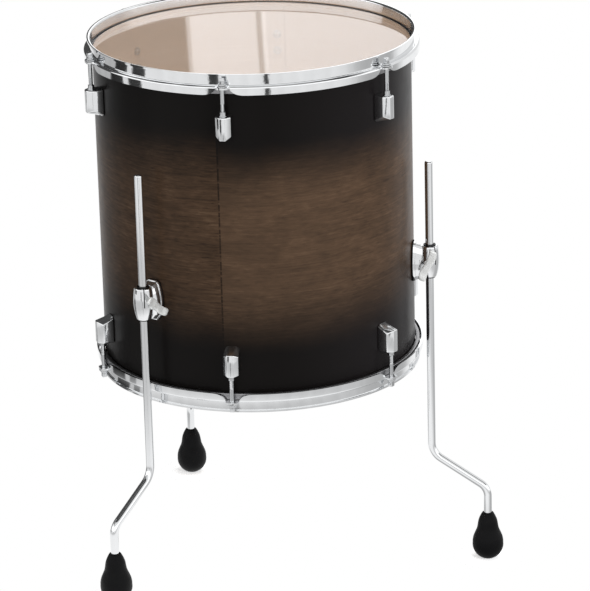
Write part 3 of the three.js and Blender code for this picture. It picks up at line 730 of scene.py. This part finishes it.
def hoop_angles():
    """Angles round the hoop, close together at the six ears and wide apart between them, and how far each
    lies from its rod along the hoop; between the ears that only has to be far."""
    near = np.linspace(-EAR_SPAN, EAR_SPAN, 109)
    far = np.linspace(EAR_SPAN, 2 * np.pi * ROD_CIRCLE / 6 - EAR_SPAN, 26)[1:-1]
    run = np.concatenate([near, far]) / ROD_CIRCLE
    return (LUG_ANGLES[:, None] + run).ravel(), np.tile(np.concatenate([near, np.full(len(far), 99.0)]), 6)


def hoop_section(across):
    """The section's closed outline for each distance from a rod: a middle line, then half the sheet to
    both sides of it."""
    half = HOOP_SHEET / 2
    wall, skirt = HOOP_WALL_R + half, SKIRT_R - half
    shelf, lip = SHELF_RISE - half, RIM_RISE - half
    away = np.abs(across)
    drop = (RIM_RISE - HOOP_HEIGHT + 0.4) - shelf
    skirt_share = (1 - (1 - np.clip((away - EAR_HALF) / SWOOP, 0, 1)) ** 2.6) ** 0.55
    ear_share = np.clip(1 - (away / EAR_HALF) ** 5, 0, 1) ** 0.5
    end_r = skirt + np.where(away < EAR_HALF, ear_share * (ROD_CIRCLE + EAR_REACH - half - skirt), 0.02)
    end_z = shelf + np.where(away < EAR_HALF, 0.0, drop * skirt_share - 0.02)
    one = np.ones_like(across)
    corners = [[WALL_OUT + 3.0 - 0.9, lip], [wall, lip], [wall, shelf], [skirt, shelf], [end_r, end_z]]
    corners = np.stack([np.stack([r * one, z * one], -1) for r, z in corners], -2)
    line = rounded(corners, [0, 2.6, 2.0, 2.0, 0], 7, False)
    ahead = np.gradient(line, axis=-2)
    ahead = ahead / np.maximum(np.linalg.norm(ahead, axis=-1, keepdims=True), 1e-9)
    normal = np.stack([-ahead[..., 1], ahead[..., 0]], -1)
    turn = np.linspace(0, np.pi, 7)[1:-1, None]

    def rim(k, way):
        """A half circle round an end of the middle line."""
        middle, aside, on = (v[..., k, None, :] for v in (line, normal, ahead))
        return middle + way * half * (np.cos(turn) * aside + np.sin(turn) * on)

    up, down = line + half * normal, (line - half * normal)[..., ::-1, :]
    return np.concatenate([up, rim(-1, 1), down, rim(0, -1)], -2)


def hoop_part():
    angle, across = hoop_angles()
    r, z = np.moveaxis(hoop_section(across), -1, 0)
    a = angle[:, None]
    return grid_faces(np.stack([r * np.sin(a), -r * np.cos(a), z], -1), True, True)


for name, (end, head) in ENDS.items():
    hoop = bare_object(f"{name}_flanged_hoop", [hoop_part()], lambda p: at_end(p, end))
    drill = [moved(round_bar(3.2, -6, 4, 20), lambda p: around(at_end(p, end, ROD_CIRCLE), a))
             for a in LUG_ANGLES]
    combine(hoop, "DIFFERENCE", bare_object("drill", drill))
    dress(hoop, DRUM, [f"{name}_hoop"], "hoop_chrome", hoop_chrome, sharp=42)
print("hoops of", len(hoop.data.polygons), "faces each")

# %% [markdown]
# ## Tension rods
# A tension rod has a rolled thread, a washer, a round flange and a square head for the key. The thread is
# a ridge that climbs one pitch a turn, so its radius depends on angle and height together.

# %% Roll the tension rods
ROD_R = 2.8
PITCH = 1.06
THREAD_DEPTH = 0.42
THREAD_TOP = -19.0


def smooth_step(t):
    t = np.clip(t, 0, 1)
    return t * t * (3 - 2 * t)


def threaded_bar(start, end, sides=20):
    """Radius drops by the thread's depth in a saw wave of height over pitch less angle over a full turn."""
    a = np.linspace(0, 2 * np.pi, sides, endpoint=False)[:, None]
    z = np.arange(start, end, PITCH / 4)
    wave = np.abs(((z / PITCH - a / (2 * np.pi)) % 1) * 2 - 1)
    fade = smooth_step((end - z) / 2) * smooth_step((z - start) / 1.5)
    r = ROD_R - THREAD_DEPTH * wave * fade
    r = np.concatenate([0 * r[:, :1], r, 0 * r[:, :1]], 1)
    z = np.concatenate([z[:1], z, z[-1:]])
    return grid_faces(np.stack([r * np.sin(a), -r * np.cos(a), z + 0 * a], -1), True, False)


def rod_parts():
    """Thread, shank, washer, flange and square head, from the tip up."""
    thread = threaded_bar(-(SHELF_RISE + LUG_SETBACK + 22), THREAD_TOP)
    shank = round_bar(ROD_R - 0.05, THREAD_TOP - 0.4, 1.0, 24)
    low = GAP + 1.6
    washer = ring(2.9, 6.3, GAP, low, 0.4, 4, 32)
    flange = rounded([[0, low + 0.02], [4.7, low + 0.02], [4.7, low + 2.4], [0, low + 2.4]],
                     [0, 0.6, 0.9, 0], 5, False)
    square = 3.1 * np.array([[-1, -1], [1, -1], [1, 1], [-1, 1]])
    levels = [(0.98, low + 2.0), (1, low + 2.8), (1, low + 8.3), (0.9, low + 8.9), (0.62, low + 9.0)]
    return [thread, shank, washer, turned(flange, 32, False), prism(square, 0.9, 4, levels)]


for name, (end, head) in ENDS.items():
    for k, lug_angle in enumerate(LUG_ANGLES, 1):
        node = f"{name}_tension_rod_{k}"
        rod = bare_object(f"{name}_key_rod_{k}", rod_parts(),
                          lambda p: around(at_end(p, end, ROD_CIRCLE, SHELF_RISE), lug_angle))
        dress(rod, node, [node], "rod_chrome", rod_chrome, sharp=50)
print("twelve rods with", len(rod.data.polygons), "faces each")

# %% [markdown]
# ## Lugs
# A lug is a small casting on the shell that holds a swivel nut in its end. Its front is a narrow flat
# face between two slanted cheeks, and its far end slopes back to the shell. It is a stack of six-cornered
# outlines whose corners have heights of their own, with broken edges. Two screws hold it from inside.

# %% Cast the lugs
LUG_HALF, LUG_FACE, LUG_SIDE, LUG_DEPTH = 9.75, 3.8, 14.0, 20.5


def lug_casting():
    """Corner places as x, out and height: back, cheek and face on one side, mirrored for the other."""
    c = 1.2
    half = np.array([
        [[LUG_HALF - c, 0, 0], [LUG_HALF - c, LUG_SIDE - c, 0], [LUG_FACE, LUG_DEPTH - c, 0]],
        [[LUG_HALF, 0, -c], [LUG_HALF, LUG_SIDE, -c], [LUG_FACE, LUG_DEPTH, -c]],
        [[LUG_HALF, 0, -32.5], [LUG_HALF, LUG_SIDE, -25.6], [LUG_FACE, LUG_DEPTH, -29.4]],
        [[5.95, 0, -35.6], [5.7, 0.9, -35.2], [2.2, 1.4, -35.1]]])
    outlines = np.concatenate([half, half[:, ::-1] * np.array([-1, 1, 1])], 1)
    return stacked(outlines * np.array([1, -1, 1]) - np.array([0, GAP, 0]))


def nut_parts():
    """Flange and collar of the swivel nut, on the rod's axis."""
    flange = ring(3.1, 5.0, -1.0, 0.8, 0.35, 4, 32)
    collar = ring(3.1, 3.9, 0.6, 5.4, [0, 0.2, 0.6, 0.2], 5, 32)
    return [moved(p, lambda q: q - np.array([0, ROD_CIRCLE - SHELL_R, 0])) for p in (flange, collar)]


def inner_screw(drop):
    """Washer, domed head and shank of a screw from inside the shell."""
    seat = SHELL_WALL + GAP
    dome = rounded([[0, seat + 1.02], [4.2, seat + 1.02], [4.0, seat + 2.3], [2.2, seat + 3.6],
                    [0, seat + 3.8]], [0, 0.2, 0.9, 0.8, 0], 4, False)
    parts = [ring(2.3, 5.4, seat, seat + 1, 0.3, 3, 28), turned(dome, 28, False),
             round_bar(2.1, -4, seat + 1.2, 16)]
    return [moved(p, lambda q: q @ INWARD - np.array([0, 0, drop])) for p in parts]


for name, (end, head) in ENDS.items():
    for k, lug_angle in enumerate(LUG_ANGLES, 1):
        def on_lug(p):
            return around(at_end(p, end, SHELL_R, -LUG_SETBACK), lug_angle)

        node = f"{name}_lug_{k}"
        casting = eased(bare_object(f"{name}_lug_casting_{k}", [lug_casting()], on_lug), 0.9, 20)
        dress(casting, DRUM, [node], "lug_chrome", cast_chrome, sharp=60)
        nut = bare_object(f"{name}_lug_nut_{k}", nut_parts(), on_lug)
        dress(nut, DRUM, [node], "lug_chrome", rod_chrome)
        screws = [p for drop in LUG_SCREW_DROPS for p in inner_screw(drop)]
        dress(bare_object(f"{name}_lug_screws_{k}", screws, on_lug), DRUM, [node], "zinc_steel", zinc)
print("lug casting has", len(casting.data.polygons), "faces")

# %% [markdown]
# ## Air vent
# A pressed grommet lines the hole at the back, through which air leaves when the drum is struck. It is
# one turned tube with a rolled flange at each side of the wall.

# %% Press the air vent
def vent_profile():
    low, high = INNER_R - GAP - 0.45, SHELL_R + GAP
    corners = [[5.5, low - 1.2], [10, low - 1.2], [10, low], [6.5, low], [6.5, high], [10, high],
               [10, high + 1.2], [5.5, high + 1.2]]
    return rounded(corners, [0.9, 0.5, 0.2, 0.1, 0.1, 0.2, 0.7, 1.1], 5)


vent = bare_object("air_vent_grommet", [turned(vent_profile(), 48)],
                   lambda p: stood(p @ OUTWARD, np.pi, 0, SHELL_DEPTH / 2))
dress(vent, DRUM, ["air_vent"], "bracket_chrome", cast_chrome)
print("vent is 20 mm across")

# %% [markdown]
# ## Leg brackets
# A bracket is a casting in three forms: a plate that follows the shell, a wedge from the plate's rim to
# the clamp, and the clamp, an egg with a bore for the bush and a slit that the wing bolt pulls shut.
# Booleans weld the forms and cut bore and slit. A rubber gasket keeps the plate off the lacquer.

# %% Cast the brackets
PLATE_SHARES = np.array([[0.5, 1], [0.68, 0.87], [0.83, 0.6], [0.95, 0.27], [1, 0], [0.97, -0.3],
                         [0.83, -0.67], [0.44, -0.95]])
CREST_SHARES = np.array([[0.3, 1], [0.58, 0.82], [0.8, 0.55], [0.95, 0.27], [1, 0], [0.96, -0.3],
                         [0.8, -0.67], [0.44, -0.95]])
PLATE_HALVES, CREST_HALVES = (14.5, 26.5), (9.6, 21.0)
PLATE_BACK = 2 * GAP + 1.2
PLATE_LEVELS = [(0.25, PLATE_BACK, 1), (0, PLATE_BACK + 0.3, 1), (0, 4.1, 0.4), (0.25, 4.6, 0.1),
                (0.8, 4.8, 0)]
GASKET_LEVELS = [(0.3, GAP, 1), (0, GAP + 0.3, 1), (0, GAP + 0.9, 1), (0.3, GAP + 1.2, 1)]
CLAMP_R, CLAMP_TOP, CLAMP_FOOT = 12.6, 22.5, -19.5
BUSH_R = LEG_R + GAP + 1.6
SLIT_TURN = np.radians(47)


def plate_outline(border, cut=1.9, shares=PLATE_SHARES, halves=PLATE_HALVES):
    """The outline's right half by its shares of the half sizes, then the same mirrored."""
    half = shares * (np.array(halves) + border)
    return rounded(np.concatenate([half, half[::-1] * np.array([-1, 1])]), cut, 5)


def curved_slab(border, levels):
    """Outlines stacked outwards: each level is an inset, a height off the shell, and how far it follows
    the shell's round, which falls by x squared over twice its radius."""
    outlines = []
    for inset, height, follow in levels:
        x, z = plate_outline(border - inset).T
        outlines.append(np.column_stack([x, -(height - follow * x * x / (2 * SHELL_R)), z]))
    return stacked(outlines)


def wedge_part(root=2.6, power=4.5, foot_out=12.6, further_out=6.6):
    """Outlines blended from the plate's to a narrower one at the clamp, whose lower end stands less far
    out. Across, the blend follows a power of the way, so a flank rises steeply and then turns in."""
    wide = plate_outline(-0.9, 0.5)
    narrow = plate_outline(0, 0.6, CREST_SHARES, CREST_HALVES) - np.array([0, 0.8])
    outlines = []
    for t in (0.0, 0.06, 0.2, 0.35, 0.5, 0.65, 0.8, 0.9, 1.0):
        x = wide[:, 0] * (1 - t**power) + narrow[:, 0] * t**power
        z = wide[:, 1] * (1 - t) + narrow[:, 1] * t
        reach = foot_out + (z + 22) / 42 * further_out
        outlines.append(np.column_stack([x, -(root + t * (reach - root)), z]))
    return stacked(outlines)


def clamp_part():
    """An egg that is cut off at both ends."""
    profile = [[0, CLAMP_FOOT], [8.9, CLAMP_FOOT], [11.2, -11.9], [12.5, -2.7], [12.7, 7.0], [11.8, 17.5],
               [10.8, CLAMP_TOP], [0, CLAMP_TOP]]
    return turned(rounded(profile, [0, 1.4, 3.8, 4.6, 4.8, 3.0, 1.6, 0], 8, False), 72, False)


def clamp_cuts(side):
    """The bush's bore, the slit and the wing bolt's hole, about the clamp's axis."""
    corners = np.array([[-0.65, -5.5], [0.65, -5.5], [0.65, -20], [-0.65, -20]])
    slit = stacked([np.column_stack([corners, np.full(4, z)]) for z in (-1.5, 30)])
    slit = moved(slit, lambda p: around(p, side * SLIT_TURN))
    sideways = np.array([[0, 0, -side], [0, 1, 0], [side, 0, 0]])
    hole = moved(round_bar(3.3, 0, 20, 24), lambda p: p @ sideways + np.array([0, 0, WING_HEIGHT]))
    return round_bar(BUSH_R + GAP, -40, 40, 48), slit, hole


for name, leg in LEGS.items():
    def on_shell(p):
        return stood(p, leg["angle"], SHELL_R, BRACKET_HEIGHT)

    def on_clamp(p):
        return on_shell(p - np.array([0, LEG_OUT, 0]))

    bracket = bare_object(f"{name}_bracket_casting", [curved_slab(0, PLATE_LEVELS)], on_shell)
    wedge = bare_object("wedge", [wedge_part()], on_shell)
    combine(bracket, "UNION", wedge, bare_object("clamp", [clamp_part()], on_clamp))
    cuts = [bare_object("cut", [part], on_clamp) for part in clamp_cuts(leg["side"])]
    combine(bracket, "DIFFERENCE", *cuts)
    dress(bracket, DRUM, [f"{name}_bracket"], "bracket_chrome", cast_chrome, sharp=32)
    gasket = bare_object(f"{name}_rubber_gasket", [curved_slab(0.45, GASKET_LEVELS)], on_shell)
    dress(gasket, DRUM, [f"{name}_bracket_gasket"], "gasket_rubber", gasket_rubber)
print("bracket casting has", len(bracket.data.polygons), "faces")

# %% [markdown]
# ## Bolts inside the shell
# Three bolts with hexagon heads and washers hold each bracket from inside. The hexagons are drawn in at
# both ends, as a turned chamfer leaves them.

# %% Set the bracket bolts
def bolt_parts():
    """Washer, hexagon head and shank, from the wall inwards."""
    seat = SHELL_WALL + GAP + 0.9
    corner = np.radians(np.arange(0, 360, 60))
    hexagon = 5.0 * np.column_stack([np.cos(corner), np.sin(corner)])
    levels = [(0.94, seat + 1.22), (1, seat + 1.5), (1, seat + 4.3), (0.9, seat + 4.8)]
    return [ring(3.0, 6.6, seat, seat + 1.2, 0.35, 4, 32), prism(hexagon, 0.35, 3, levels),
            round_bar(2.75, -7.5, seat + 1.4, 20)]


for name, leg in LEGS.items():
    for k, (x, z) in enumerate(BOLT_PLACES, 1):
        bolt = bare_object(f"{name}_hex_bolt_{k}", bolt_parts(),
                           lambda p: stood(p @ INWARD, leg["angle"], SHELL_R, BRACKET_HEIGHT + z, x))
        dress(bolt, DRUM, [f"{name}_bracket_bolt_{k}"], "zinc_steel", zinc)
print("nine bolts")

# %% [markdown]
# ## Legs, bushes and feet
# A leg is drawn steel bar, bent out at the knee and down at the ankle: circles carried along straight
# runs and arcs. A nylon bush with a flange lies between leg and clamp. The foot is a rubber pear about
# the leg, whose lowest skin lies flat on the floor.

# %% Bend the legs
LEG_TOP, KNEE_DROP, SLOPE, DOME = 254, 144.0, 0.65, 2.2
KNEE_BEND, ANKLE_BEND = 26.0, 20.0
BALL_DROP, BALL_R, FOOT_TALL, LEG_IN_FOOT = 270.4, 20.3, 65, 27


def bend(corner, before, after, radius, steps=14):
    """Points and directions of an arc that leaves one straight run and joins the next."""
    turn = np.arccos(np.clip(before @ after, -1, 1))
    inward = after - before * (before @ after)
    inward = inward / np.linalg.norm(inward)
    start = corner - before * radius * np.tan(turn / 2)
    t = np.linspace(0, turn, steps)[:, None]
    points = start + inward * radius * (1 - np.cos(t)) + before * radius * np.sin(t)
    return points, before * np.cos(t) + inward * np.sin(t)


def leg_part():
    """Circles across the path; the last ones at the top shrink along a quarter circle to a dome."""
    down = np.array([0.0, 0, -1])
    out = np.array([0, -1, -SLOPE]) / np.hypot(1, SLOPE)
    knee = np.array([0, 0, -KNEE_DROP])
    ankle = np.array([0, -FOOT_REACH, -KNEE_DROP - FOOT_REACH * SLOPE])
    bends = [bend(knee, down, out, KNEE_BEND), bend(ankle, out, down, ANKLE_BEND)]
    t = np.linspace(np.pi / 2, 0.05, 5)
    heights = np.concatenate([LEG_TOP - DOME + DOME * np.sin(t), np.linspace(251.6, -120, 12)])
    end = -BALL_DROP - BALL_R + FOOT_TALL - LEG_IN_FOOT + GAP
    points = np.concatenate([[[0, 0, z] for z in heights], bends[0][0], bends[1][0],
                             [[0, -FOOT_REACH, end + 2], [0, -FOOT_REACH, end]]])
    ways = np.concatenate([np.tile(down, (len(heights), 1)), bends[0][1], bends[1][1], [down, down]])
    radius = np.full(len(points), LEG_R)
    radius[:len(t)] = LEG_R - DOME + DOME * np.cos(t)
    x = np.array([1.0, 0, 0])
    b = np.cross(ways, x)[:, None]
    a = np.linspace(0, 2 * np.pi, 40, endpoint=False)[None, :, None]
    return stacked(points[:, None] + radius[:, None, None] * (np.cos(a) * x + np.sin(a) * b))


def foot_part():
    """The pear's profile as radius and height, rounded at its corners; the bore takes the leg."""
    lower = np.linspace(-np.pi / 2, 0.12, 16)
    ball = BALL_R * np.column_stack([np.cos(lower), np.sin(lower)])
    ball[0, 0] = 0
    upper = [[20.15, 5.0], [19.3, 10.3], [16.4, 17.2], [14.3, 22.0], [13.3, 27.6], [12.5, 33.3],
             [10.3, 38.9], [7.7, 43.7], [6.8, 44.7], [5.75, 44.3], [5.6, 41.0], [5.6, 17.7], [0, 17.7]]
    shoulder = rounded(upper, [0, 2.6, 3.4, 2.6, 2.8, 2.8, 2.8, 0.6, 0.5, 0.4, 0.5, 0, 0], 5, False)
    return turned(np.concatenate([ball, shoulder]), 64, False)


def bush_part():
    inner, low, high = LEG_R + GAP, CLAMP_FOOT - 1.5, CLAMP_TOP + GAP
    corners = [[inner, low], [BUSH_R, low], [BUSH_R, high], [BUSH_R + 0.9, high], [BUSH_R + 0.9, high + 0.8],
               [inner, high + 0.8]]
    return turned(rounded(corners, [0.3, 0.5, 0.1, 0.2, 0.4, 0.3], 4), 48)


def level_under(mesh):
    """Points under the floor are lifted to it."""
    co = np.empty(len(mesh.vertices) * 3, np.float32)
    mesh.vertices.foreach_get("co", co)
    co[2::3] = np.maximum(co[2::3], 0.0)
    mesh.vertices.foreach_set("co", co)


for name, leg in LEGS.items():
    angle, raised = leg["angle"], leg["raise"]
    bar = bare_object(f"{name}_bent_leg", [leg_part()], lambda p: stood(p, angle, LEG_CIRCLE, raised))
    dress(bar, f"{name}_leg", [f"{name}_leg"], "leg_chrome", bar_chrome, sharp=50)
    bush = bare_object(f"{name}_nylon_bush", [bush_part()],
                       lambda p: stood(p, angle, LEG_CIRCLE, BRACKET_HEIGHT))
    dress(bush, f"{name}_leg_bush", [f"{name}_leg_bush"], "black_nylon", black_nylon)
    foot = bare_object(f"{name}_rubber_foot", [foot_part()],
                       lambda p: stood(p, angle, FOOT_CIRCLE, raised - BALL_DROP))
    level_under(foot.data)
    dress(foot, f"{name}_leg", [f"{name}_foot"], "foot_rubber", foot_rubber, sharp=50)
print("three legs of 10.5 mm bar")

# %% [markdown]
# ## Wing bolts
# A wing bolt is a casting too: a round hub with two broad blunt wings that sweep a little away from the
# clamp, bow in opposite ways and have a shallow dish in their outer face. A wing is a stack of rounded
# outlines, and Subdivision Surface rounds it as the mould does.

# %% Cast the wing bolts
WING_REACH = np.array([0.0, 2.5, 5.0, 8.0, 11.0, 14.0, 17.0, 19.3, 20.8, 21.4])[:, None]
WING_THICK = np.array([2.7, 2.7, 2.6, 2.5, 2.4, 2.3, 2.2, 2.0, 1.6, 0.8])[:, None]
WING_BROAD = np.array([4.9, 5.0, 5.1, 5.2, 5.3, 5.3, 5.2, 4.9, 4.1, 2.6])[:, None]
NECK = CLAMP_R + GAP
HUB, HUB_END = NECK + 1.5, NECK + 8.5


def wing_part(way):
    """Outlines at steps of reach: a rounded oblong, thin along the bolt and broad across it, whose middle
    sweeps outwards along the bolt and bows sideways; the dish is deepest at its middle."""
    reach = WING_REACH
    middle = HUB + np.interp(reach, [0, 4, 9, 14, 18, 21.4], [6.2, 6.5, 7.2, 8.0, 8.7, 9.0])
    a = np.linspace(0, 2 * np.pi, 24, endpoint=False)[None, :]
    c, s = (np.sign(v) * np.abs(v) ** power for v, power in ((np.cos(a), 0.55), (np.sin(a), 0.75)))
    dish = 0.9 * np.exp(-((reach - 11.5) / 4.2) ** 2) * np.clip(np.cos(a), 0, 1) ** 2
    x = middle + WING_THICK * c - dish
    y = WING_BROAD * s + 1.4 * np.sin(np.pi * reach / 21.4)
    return stacked(np.stack([x, y * way, (reach + 0 * x) * way], -1))


def spindle_part():
    profile = [[0, BUSH_R + GAP], [2.95, BUSH_R + GAP], [2.95, NECK], [4.6, NECK], [5.6, HUB],
               [5.2, HUB_END - 2], [4.0, HUB_END], [0, HUB_END + 0.3]]
    spindle = turned(rounded(profile, [0, 0.3, 0, 0.4, 1.2, 1.4, 1.2, 0], 6, False), 48, False)
    return moved(spindle, lambda p: p @ np.array([[0, 0, -1], [0, 1, 0], [1, 0, 0]]))


for name, leg in LEGS.items():
    def on_bolt(p):
        """Turned about the bolt, then pointed to the bracket's side."""
        side = leg["side"]
        c, s = np.cos(side * leg["wing"]), np.sin(side * leg["wing"])
        p = np.asarray(p) @ np.array([[1, 0, 0], [0, c, s], [0, -s, c]])
        return stood(p * np.array([side, side, 1]), leg["angle"], LEG_CIRCLE, BRACKET_HEIGHT + WING_HEIGHT)

    bolt = bare_object(f"{name}_bolt_with_wings", [wing_part(1), wing_part(-1)], on_bolt)
    smooth = bolt.modifiers.new("moulded", "SUBSURF")
    smooth.levels = smooth.render_levels = 1
    settle(bolt)
    combine(bolt, "UNION", bare_object("spindle", [spindle_part()], on_bolt))
    dress(bolt, f"{name}_wing_bolt", [f"{name}_wing_bolt"], "bracket_chrome", satin_chrome, sharp=50)
print("wing bolt has", len(bolt.data.polygons), "faces")

# %% [markdown]
# ## Floor, light and camera
# The drum stands on a white floor in a white room. Chrome needs something dark to show its shape, so the
# world that it mirrors has dark panels, while the light on plain surfaces stays even. Lamps alone would
# leave the chrome black, and an even world would leave it flat.

# %% Lay the floor
FLOOR_R = 7.0
SHADOW_RIM = (0.045, 0.028)


def floor_finish():
    """White for the camera, plain for light, and for mirrors a lit floor with dark things standing on it,
    given by the angle and distance from the drum. Away from the places where the feet stand at rest, the
    camera sees through it to the white room, so legs that are let down further stay in sight."""
    f = Finish("white_floor")
    x, y, z = f.parts_of(f.place())
    cloud = f.noise(f.place(), 2.0, 2.0)
    azimuth = f.azimuth(x, y)
    distance = (x * x + y * y).math("SQRT")

    def between(start, end, edge=1.2):
        return azimuth.rise(start, start + edge) * azimuth.rise(end, end - edge)

    front = azimuth.rise(-75, -45) * azimuth.rise(125, 100)
    turn = azimuth.math("WRAP", 360.0, 0.0)
    back = turn.rise(150, 165) * turn.rise(262, 245)
    near, far = distance.rise(0.85, 0.4), distance.rise(1.2, 1.45)
    streak = f.streaks(azimuth * 0.09, 0.0, 3.0, 3.0, 0.6) - 0.5
    light = 0.5 + front * (0.14 + near * 0.4 + far * 0.26) + back * 0.5 + streak * 0.35
    outer, inner = distance.rise(1.74, 1.8), (1.0 - far) * (1.0 - near)
    dark = outer * (between(-70, -55) + between(-51, -37.6))
    dark = dark + far * (between(10.5, 18.8) + between(48, 52.5))
    dark = dark + inner * (between(-80, -62) + between(-58, -50) * 0.8 + between(24, 29) * 0.6)
    mirror = light * (1.0 - dark.math("MINIMUM", 1.0) * 0.95) * (0.96 + cloud * 0.08)
    camera, glossy = f.rays()
    tone = f.blend(cloud * 0.3, (0.9, 0.9, 0.9), (0.88, 0.88, 0.88))
    diffuse = f.node("ShaderNodeBsdfDiffuse", {}, {"Color": tone, "Roughness": 0.5})
    glow = f.node("ShaderNodeEmission", {}, {"Color": WHITE, "Strength": camera * 0.55})
    seen = f.node("ShaderNodeAddShader", {}, {0: diffuse, 1: glow})
    mirrored = f.node("ShaderNodeEmission", {}, {"Color": WHITE, "Strength": mirror})
    shade = distance * 0.0
    for leg in LEGS.values():
        foot = to_frame(stood([0, 0, 0], leg["angle"], FOOT_CIRCLE, leg["raise"] - BALL_DROP - BALL_R))
        u, v = x - float(foot[0]), y - float(foot[1])
        shade = shade.math("MAXIMUM", (u * u + v * v).math("SQRT").rise(*SHADOW_RIM))
    clear = f.node("ShaderNodeBsdfTransparent", {}, {"Color": WHITE})
    return f.show(f.mix(camera * (1.0 - shade), f.mix(glossy, seen, mirrored), clear))


a = np.linspace(0, 2 * np.pi, 96, endpoint=False)
rim = np.stack([np.cos(a), np.sin(a), 0 * a], -1) * FLOOR_R - np.array([0, 0, 0.0002])
floor_mesh = bpy.data.meshes.new("floor")
floor_mesh.from_pydata(rim.tolist(), [], [list(range(len(a)))])
floor = bpy.data.objects.new("studio_floor", floor_mesh)
floor_mesh.materials.append(floor_finish().material)
bpy.context.scene.collection.objects.link(floor)
print("floor is 14 m across")


# %% Light the room
def room_light(world):
    """What a ray sees by its direction: white for the camera, an even room for plain surfaces, and white
    walls with dark panels for mirrors. Azimuth 0 is the drum's front and grows towards +X."""
    world.use_nodes = True
    f = Finish("room", world.node_tree)
    x, y, z = f.parts_of(f.node("ShaderNodeTexCoord", out="Generated"))
    front = f.azimuth(x, y)
    back = front.math("WRAP", 360.0, 0.0)
    rise = z.math("ARCSINE") * (180 / np.pi)

    def panel(turn, start, end, low, high, edge=1.5):
        across = turn.rise(start, start + edge) * turn.rise(end, end - edge)
        return across * rise.rise(low, low + edge * 2) * rise.rise(high, high - edge * 2)

    dark = panel(front, -62, -30, 30, 80) + panel(front, 100, 126, 26, 80) + panel(front, -18, -8, 28, 80)
    dark = dark + rise.rise(50, 55) * rise.rise(76, 70) + panel(back, 222.01, 290, -20, 70, 0.04)
    dark = dark + panel(back, 220.68, 220.8, 5, 50, 0.03) * 0.6
    window = panel(back, 205, 221.98, 5, 50, 0.04)
    strip = panel(back, 220.6, 220.68, 5, 50, 0.03)
    facing = front.rise(-75, -55) * front.rise(150, 130) * rise.rise(2, 6) * rise.rise(30, 26)
    mirror = (0.86 + window * 0.62 + strip * 0.3 + facing * 0.6) * (1.0 - dark.math("MINIMUM", 1.0) * 0.92)
    camera, glossy = f.rays()
    plain = 0.38 + x * 0.12 + rise.rise(-10.0, 80.0) * 0.15
    strength = camera + (1.0 - camera) * (glossy * mirror + (1.0 - glossy) * plain)
    f.show(f.node("ShaderNodeBackground", {}, {"Color": WHITE, "Strength": strength}), "World")


world = bpy.data.worlds.new("room")
bpy.context.scene.world = world
room_light(world)


def soft_lamp(name, place, aim, size, power):
    """A square lamp that points at a place; all in metres and watts."""
    lamp = bpy.data.lights.new(name, "AREA")
    lamp.shape = "SQUARE"
    lamp.size = size
    lamp.energy = power
    obj = bpy.data.objects.new(name, lamp)
    turn = (Vector(aim) - Vector(place)).to_track_quat("-Z", "Y")
    obj.matrix_world = Matrix.Translation(Vector(place)) @ turn.to_matrix().to_4x4()
    obj.visible_camera = False
    obj.visible_glossy = False
    bpy.context.scene.collection.objects.link(obj)


DRUM_MIDDLE = (0, 0, 0.4)
soft_lamp("over_the_head", (0.4, 0.3, 2.6), DRUM_MIDDLE, 1.6, 34)
soft_lamp("beside_the_camera", (2.7, -0.8, 1.6), DRUM_MIDDLE, 1.2, 30)
print("two lamps and a room")

# %% [markdown]
# ## The camera
# The photograph was taken from far away with a long lens, a little above the drum and slightly rolled. A
# fit to points of the drum gives the angles, better than placing by eye. The image is taken to be 590
# pixels wide, and the lens follows from the fitted focal length in pixels.

# %% Aim the camera
AZIMUTH, ELEVATION, ROLL = np.radians([38.515, 15.927, 1.414])
TARGET, DISTANCE = np.array([73.58, 20.01, 362.14]) / 1000, 4.2681
FOCAL, IMAGE_WIDTH, SENSOR_WIDTH = 3336.85, 590, 36

right = np.array([np.cos(AZIMUTH), np.sin(AZIMUTH), 0])
level = np.cos(ELEVATION)
away = np.array([np.sin(AZIMUTH) * level, -np.cos(AZIMUTH) * level, np.sin(ELEVATION)])
upward = np.cross(away, right)
turned_right = np.cos(ROLL) * right + np.sin(ROLL) * upward
turned_up = np.cos(ROLL) * upward - np.sin(ROLL) * right
lens = bpy.data.cameras.new("long_lens")
lens.sensor_fit = "HORIZONTAL"
lens.sensor_width = SENSOR_WIDTH
lens.lens = FOCAL * SENSOR_WIDTH / IMAGE_WIDTH
lens.clip_end = 60
camera = bpy.data.objects.new("camera", lens)
bpy.context.scene.collection.objects.link(camera)
rows = np.column_stack([turned_right, turned_up, away, TARGET + away * DISTANCE])
camera.matrix_world = Matrix([*rows.tolist(), [0, 0, 0, 1]])
bpy.context.scene.camera = camera
print("lens is", round(lens.lens, 1), "mm")

# %% [markdown]
# ## Show it
# The colours are shown plainly, without a film look, and the lesson ends.

# %% Plain colours and the end
bpy.context.scene.view_settings.view_transform = "Standard"
